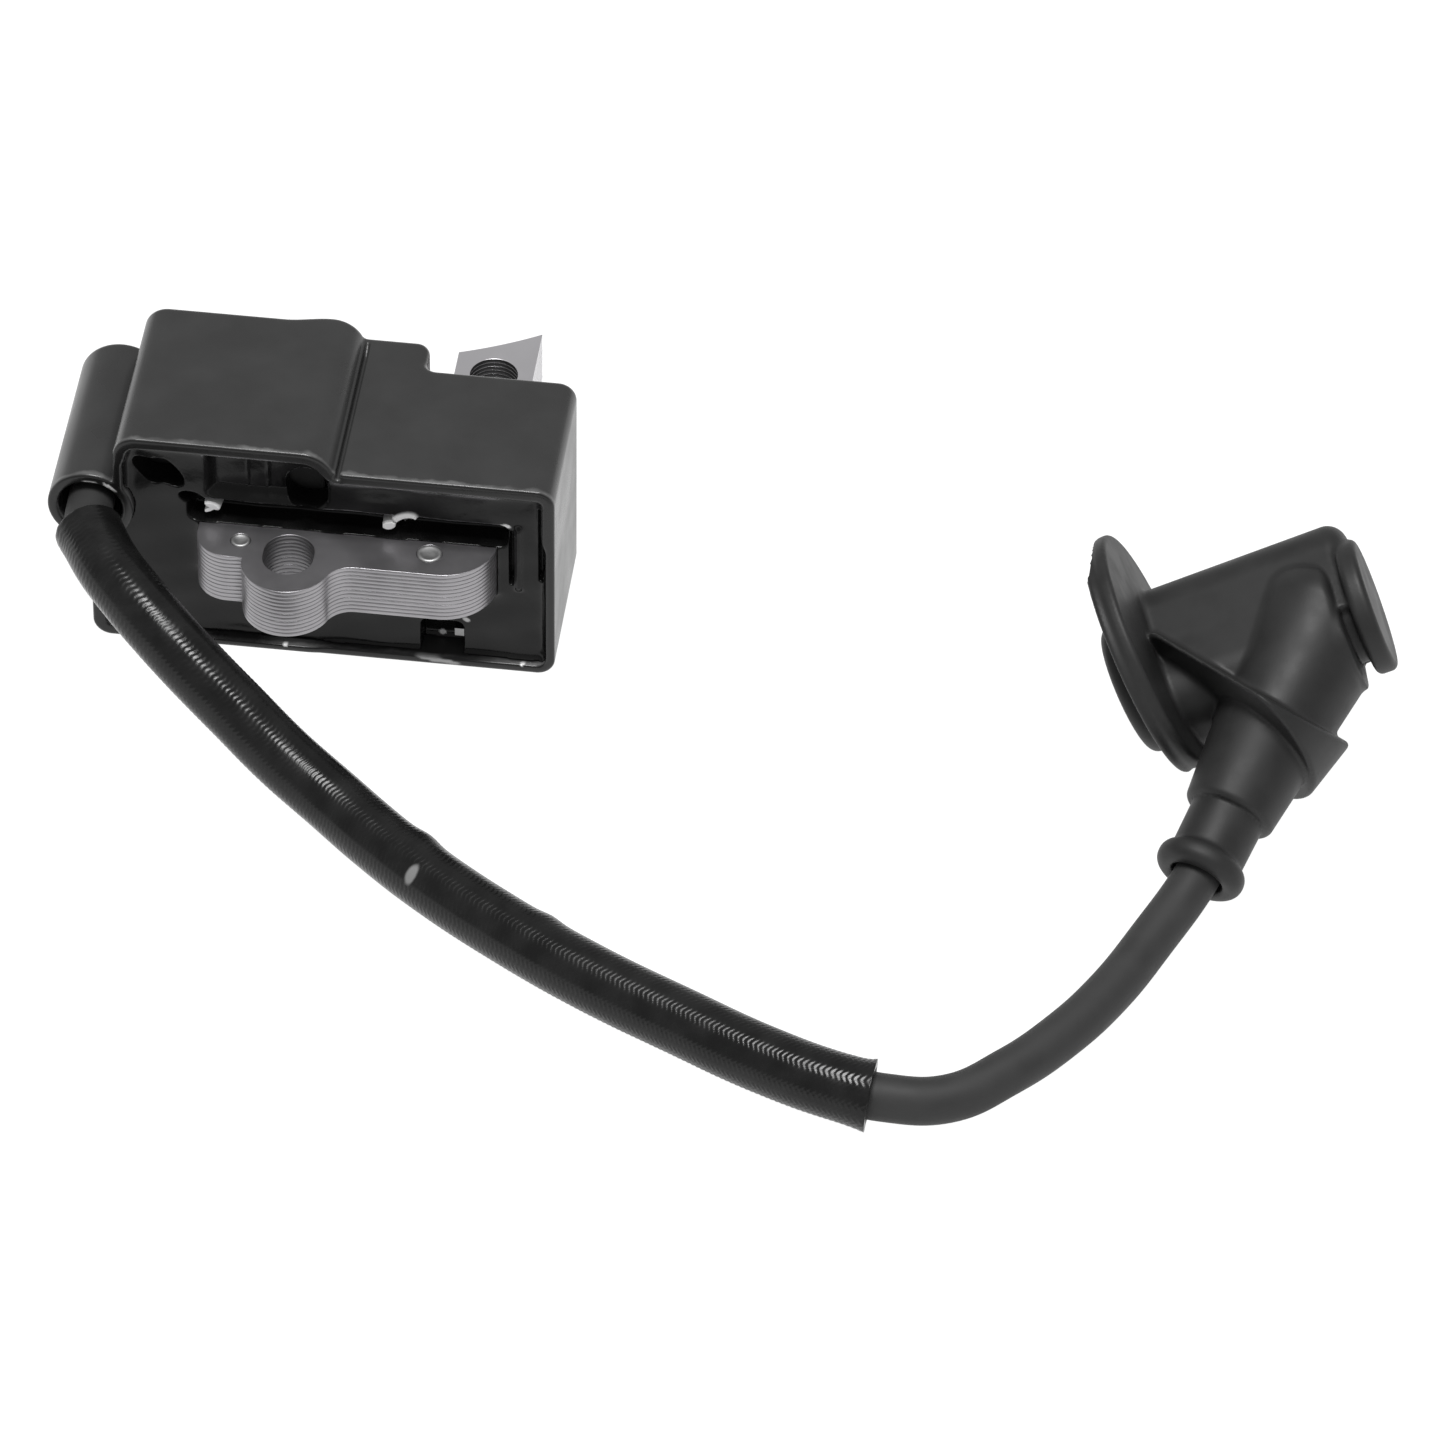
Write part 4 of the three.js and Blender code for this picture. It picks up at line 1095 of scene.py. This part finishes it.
def boot_field(x, y, z):
    """The whole boot: its parts merged, stopped above the floor, and bored at both ends."""
    neck_bar = (x, y, z, COLLAR_POINT, unit(NECK_POINT - COLLAR_POINT))
    neck = cone(*neck_bar, *NECK_SPAN, *NECK_RADII, 0.2)
    bead = cone(*neck_bar, *BEAD_SPAN, BEAD_RADIUS, BEAD_RADIUS, BEAD_ROUND)
    solid = merge(boot_flange(x, y, z, upward(PLUG_AXIS)), boot_head(x, y, z), 0.6)
    solid = merge(solid, boot_stem(x, y, z), 0.35)
    solid = merge(solid, boot_skirt(x, y, z), 0.5)
    solid = merge(merge(solid, neck, 0.15), bead, 0.4)
    solid = meet(solid, FLOOR_GAP - z, 0.3)
    socket_bar = (x, y, z, DISC_POINT, PLUG_AXIS)
    socket = cone(*socket_bar, *SOCKET_SPAN, SOCKET_RADIUS, SOCKET_RADIUS, 0.5)
    hole = cone(*neck_bar, *LEAD_HOLE_SPAN, *LEAD_HOLE_RADII, 0.3)
    return carve(carve(solid, socket, 0.6), hole, 0.4)


def add_boot():
    low, high = (np.array(corner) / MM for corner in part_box("boot_body"))
    low, high = low - BOOT_MARGIN, high + BOOT_MARGIN
    piece = add_field("plug_boot", boot_field, low, high, BOOT_PITCH, boot_look)
    stand_for(piece, "boot_rubber", "boot_body")


dress("plug_spring", spring_look)
add_housing()
add_resin()
add_core()
add_rivets()
add_sleeve()
add_boot()


# ---------------------------------------------------------------- studio
FLOOR_REACH = 3
FLOOR_GREY = 0.12
FLOOR_GLOW = 1.0
LAMP_PLACE = (0.03, -0.15, 0.9)
LAMP_AIM = (0.04, -0.02, 0)
LAMP_SIZE = 0.3
LAMP_WATTS = 8
WORLD_STRENGTH = 0.4


def add_floor():
    """A plain floor that glows, because the photograph's ground is pure white."""
    mesh = bpy.data.meshes.new("floor")
    corners = [(x * FLOOR_REACH, y * FLOOR_REACH, 0) for x, y in ((-1, -1), (1, -1), (1, 1), (-1, 1))]
    mesh.from_pydata(corners, [], [(0, 1, 2, 3)])
    floor = link(bpy.data.objects.new("floor", mesh))
    look, nodes, _ = blank("floor")
    shader = nodes["Principled BSDF"]
    shader.inputs["Base Color"].default_value = (*grey(FLOOR_GREY), 1)
    shader.inputs["Roughness"].default_value = 0.9
    shader.inputs["Specular IOR Level"].default_value = 0.1
    shader.inputs["Emission Color"].default_value = (1, 1, 1, 1)
    shader.inputs["Emission Strength"].default_value = FLOOR_GLOW
    mesh.materials.append(look)


def add_lamp():
    """One square soft light overhead."""
    data = bpy.data.lights.new("overhead", "AREA")
    data.shape = "SQUARE"
    data.size = LAMP_SIZE
    data.energy = LAMP_WATTS
    lamp = link(bpy.data.objects.new("overhead", data))
    lamp.location = LAMP_PLACE
    direction = Vector(LAMP_AIM) - Vector(LAMP_PLACE)
    lamp.rotation_euler = direction.to_track_quat("-Z", "Y").to_euler()


def add_world():
    world = bpy.data.worlds.new("studio")
    world.use_nodes = True
    background = world.node_tree.nodes["Background"]
    background.inputs["Color"].default_value = (1, 1, 1, 1)
    background.inputs["Strength"].default_value = WORLD_STRENGTH
    bpy.context.scene.world = world


bpy.context.scene.view_settings.view_transform = "Standard"
add_floor()
add_lamp()
add_world()
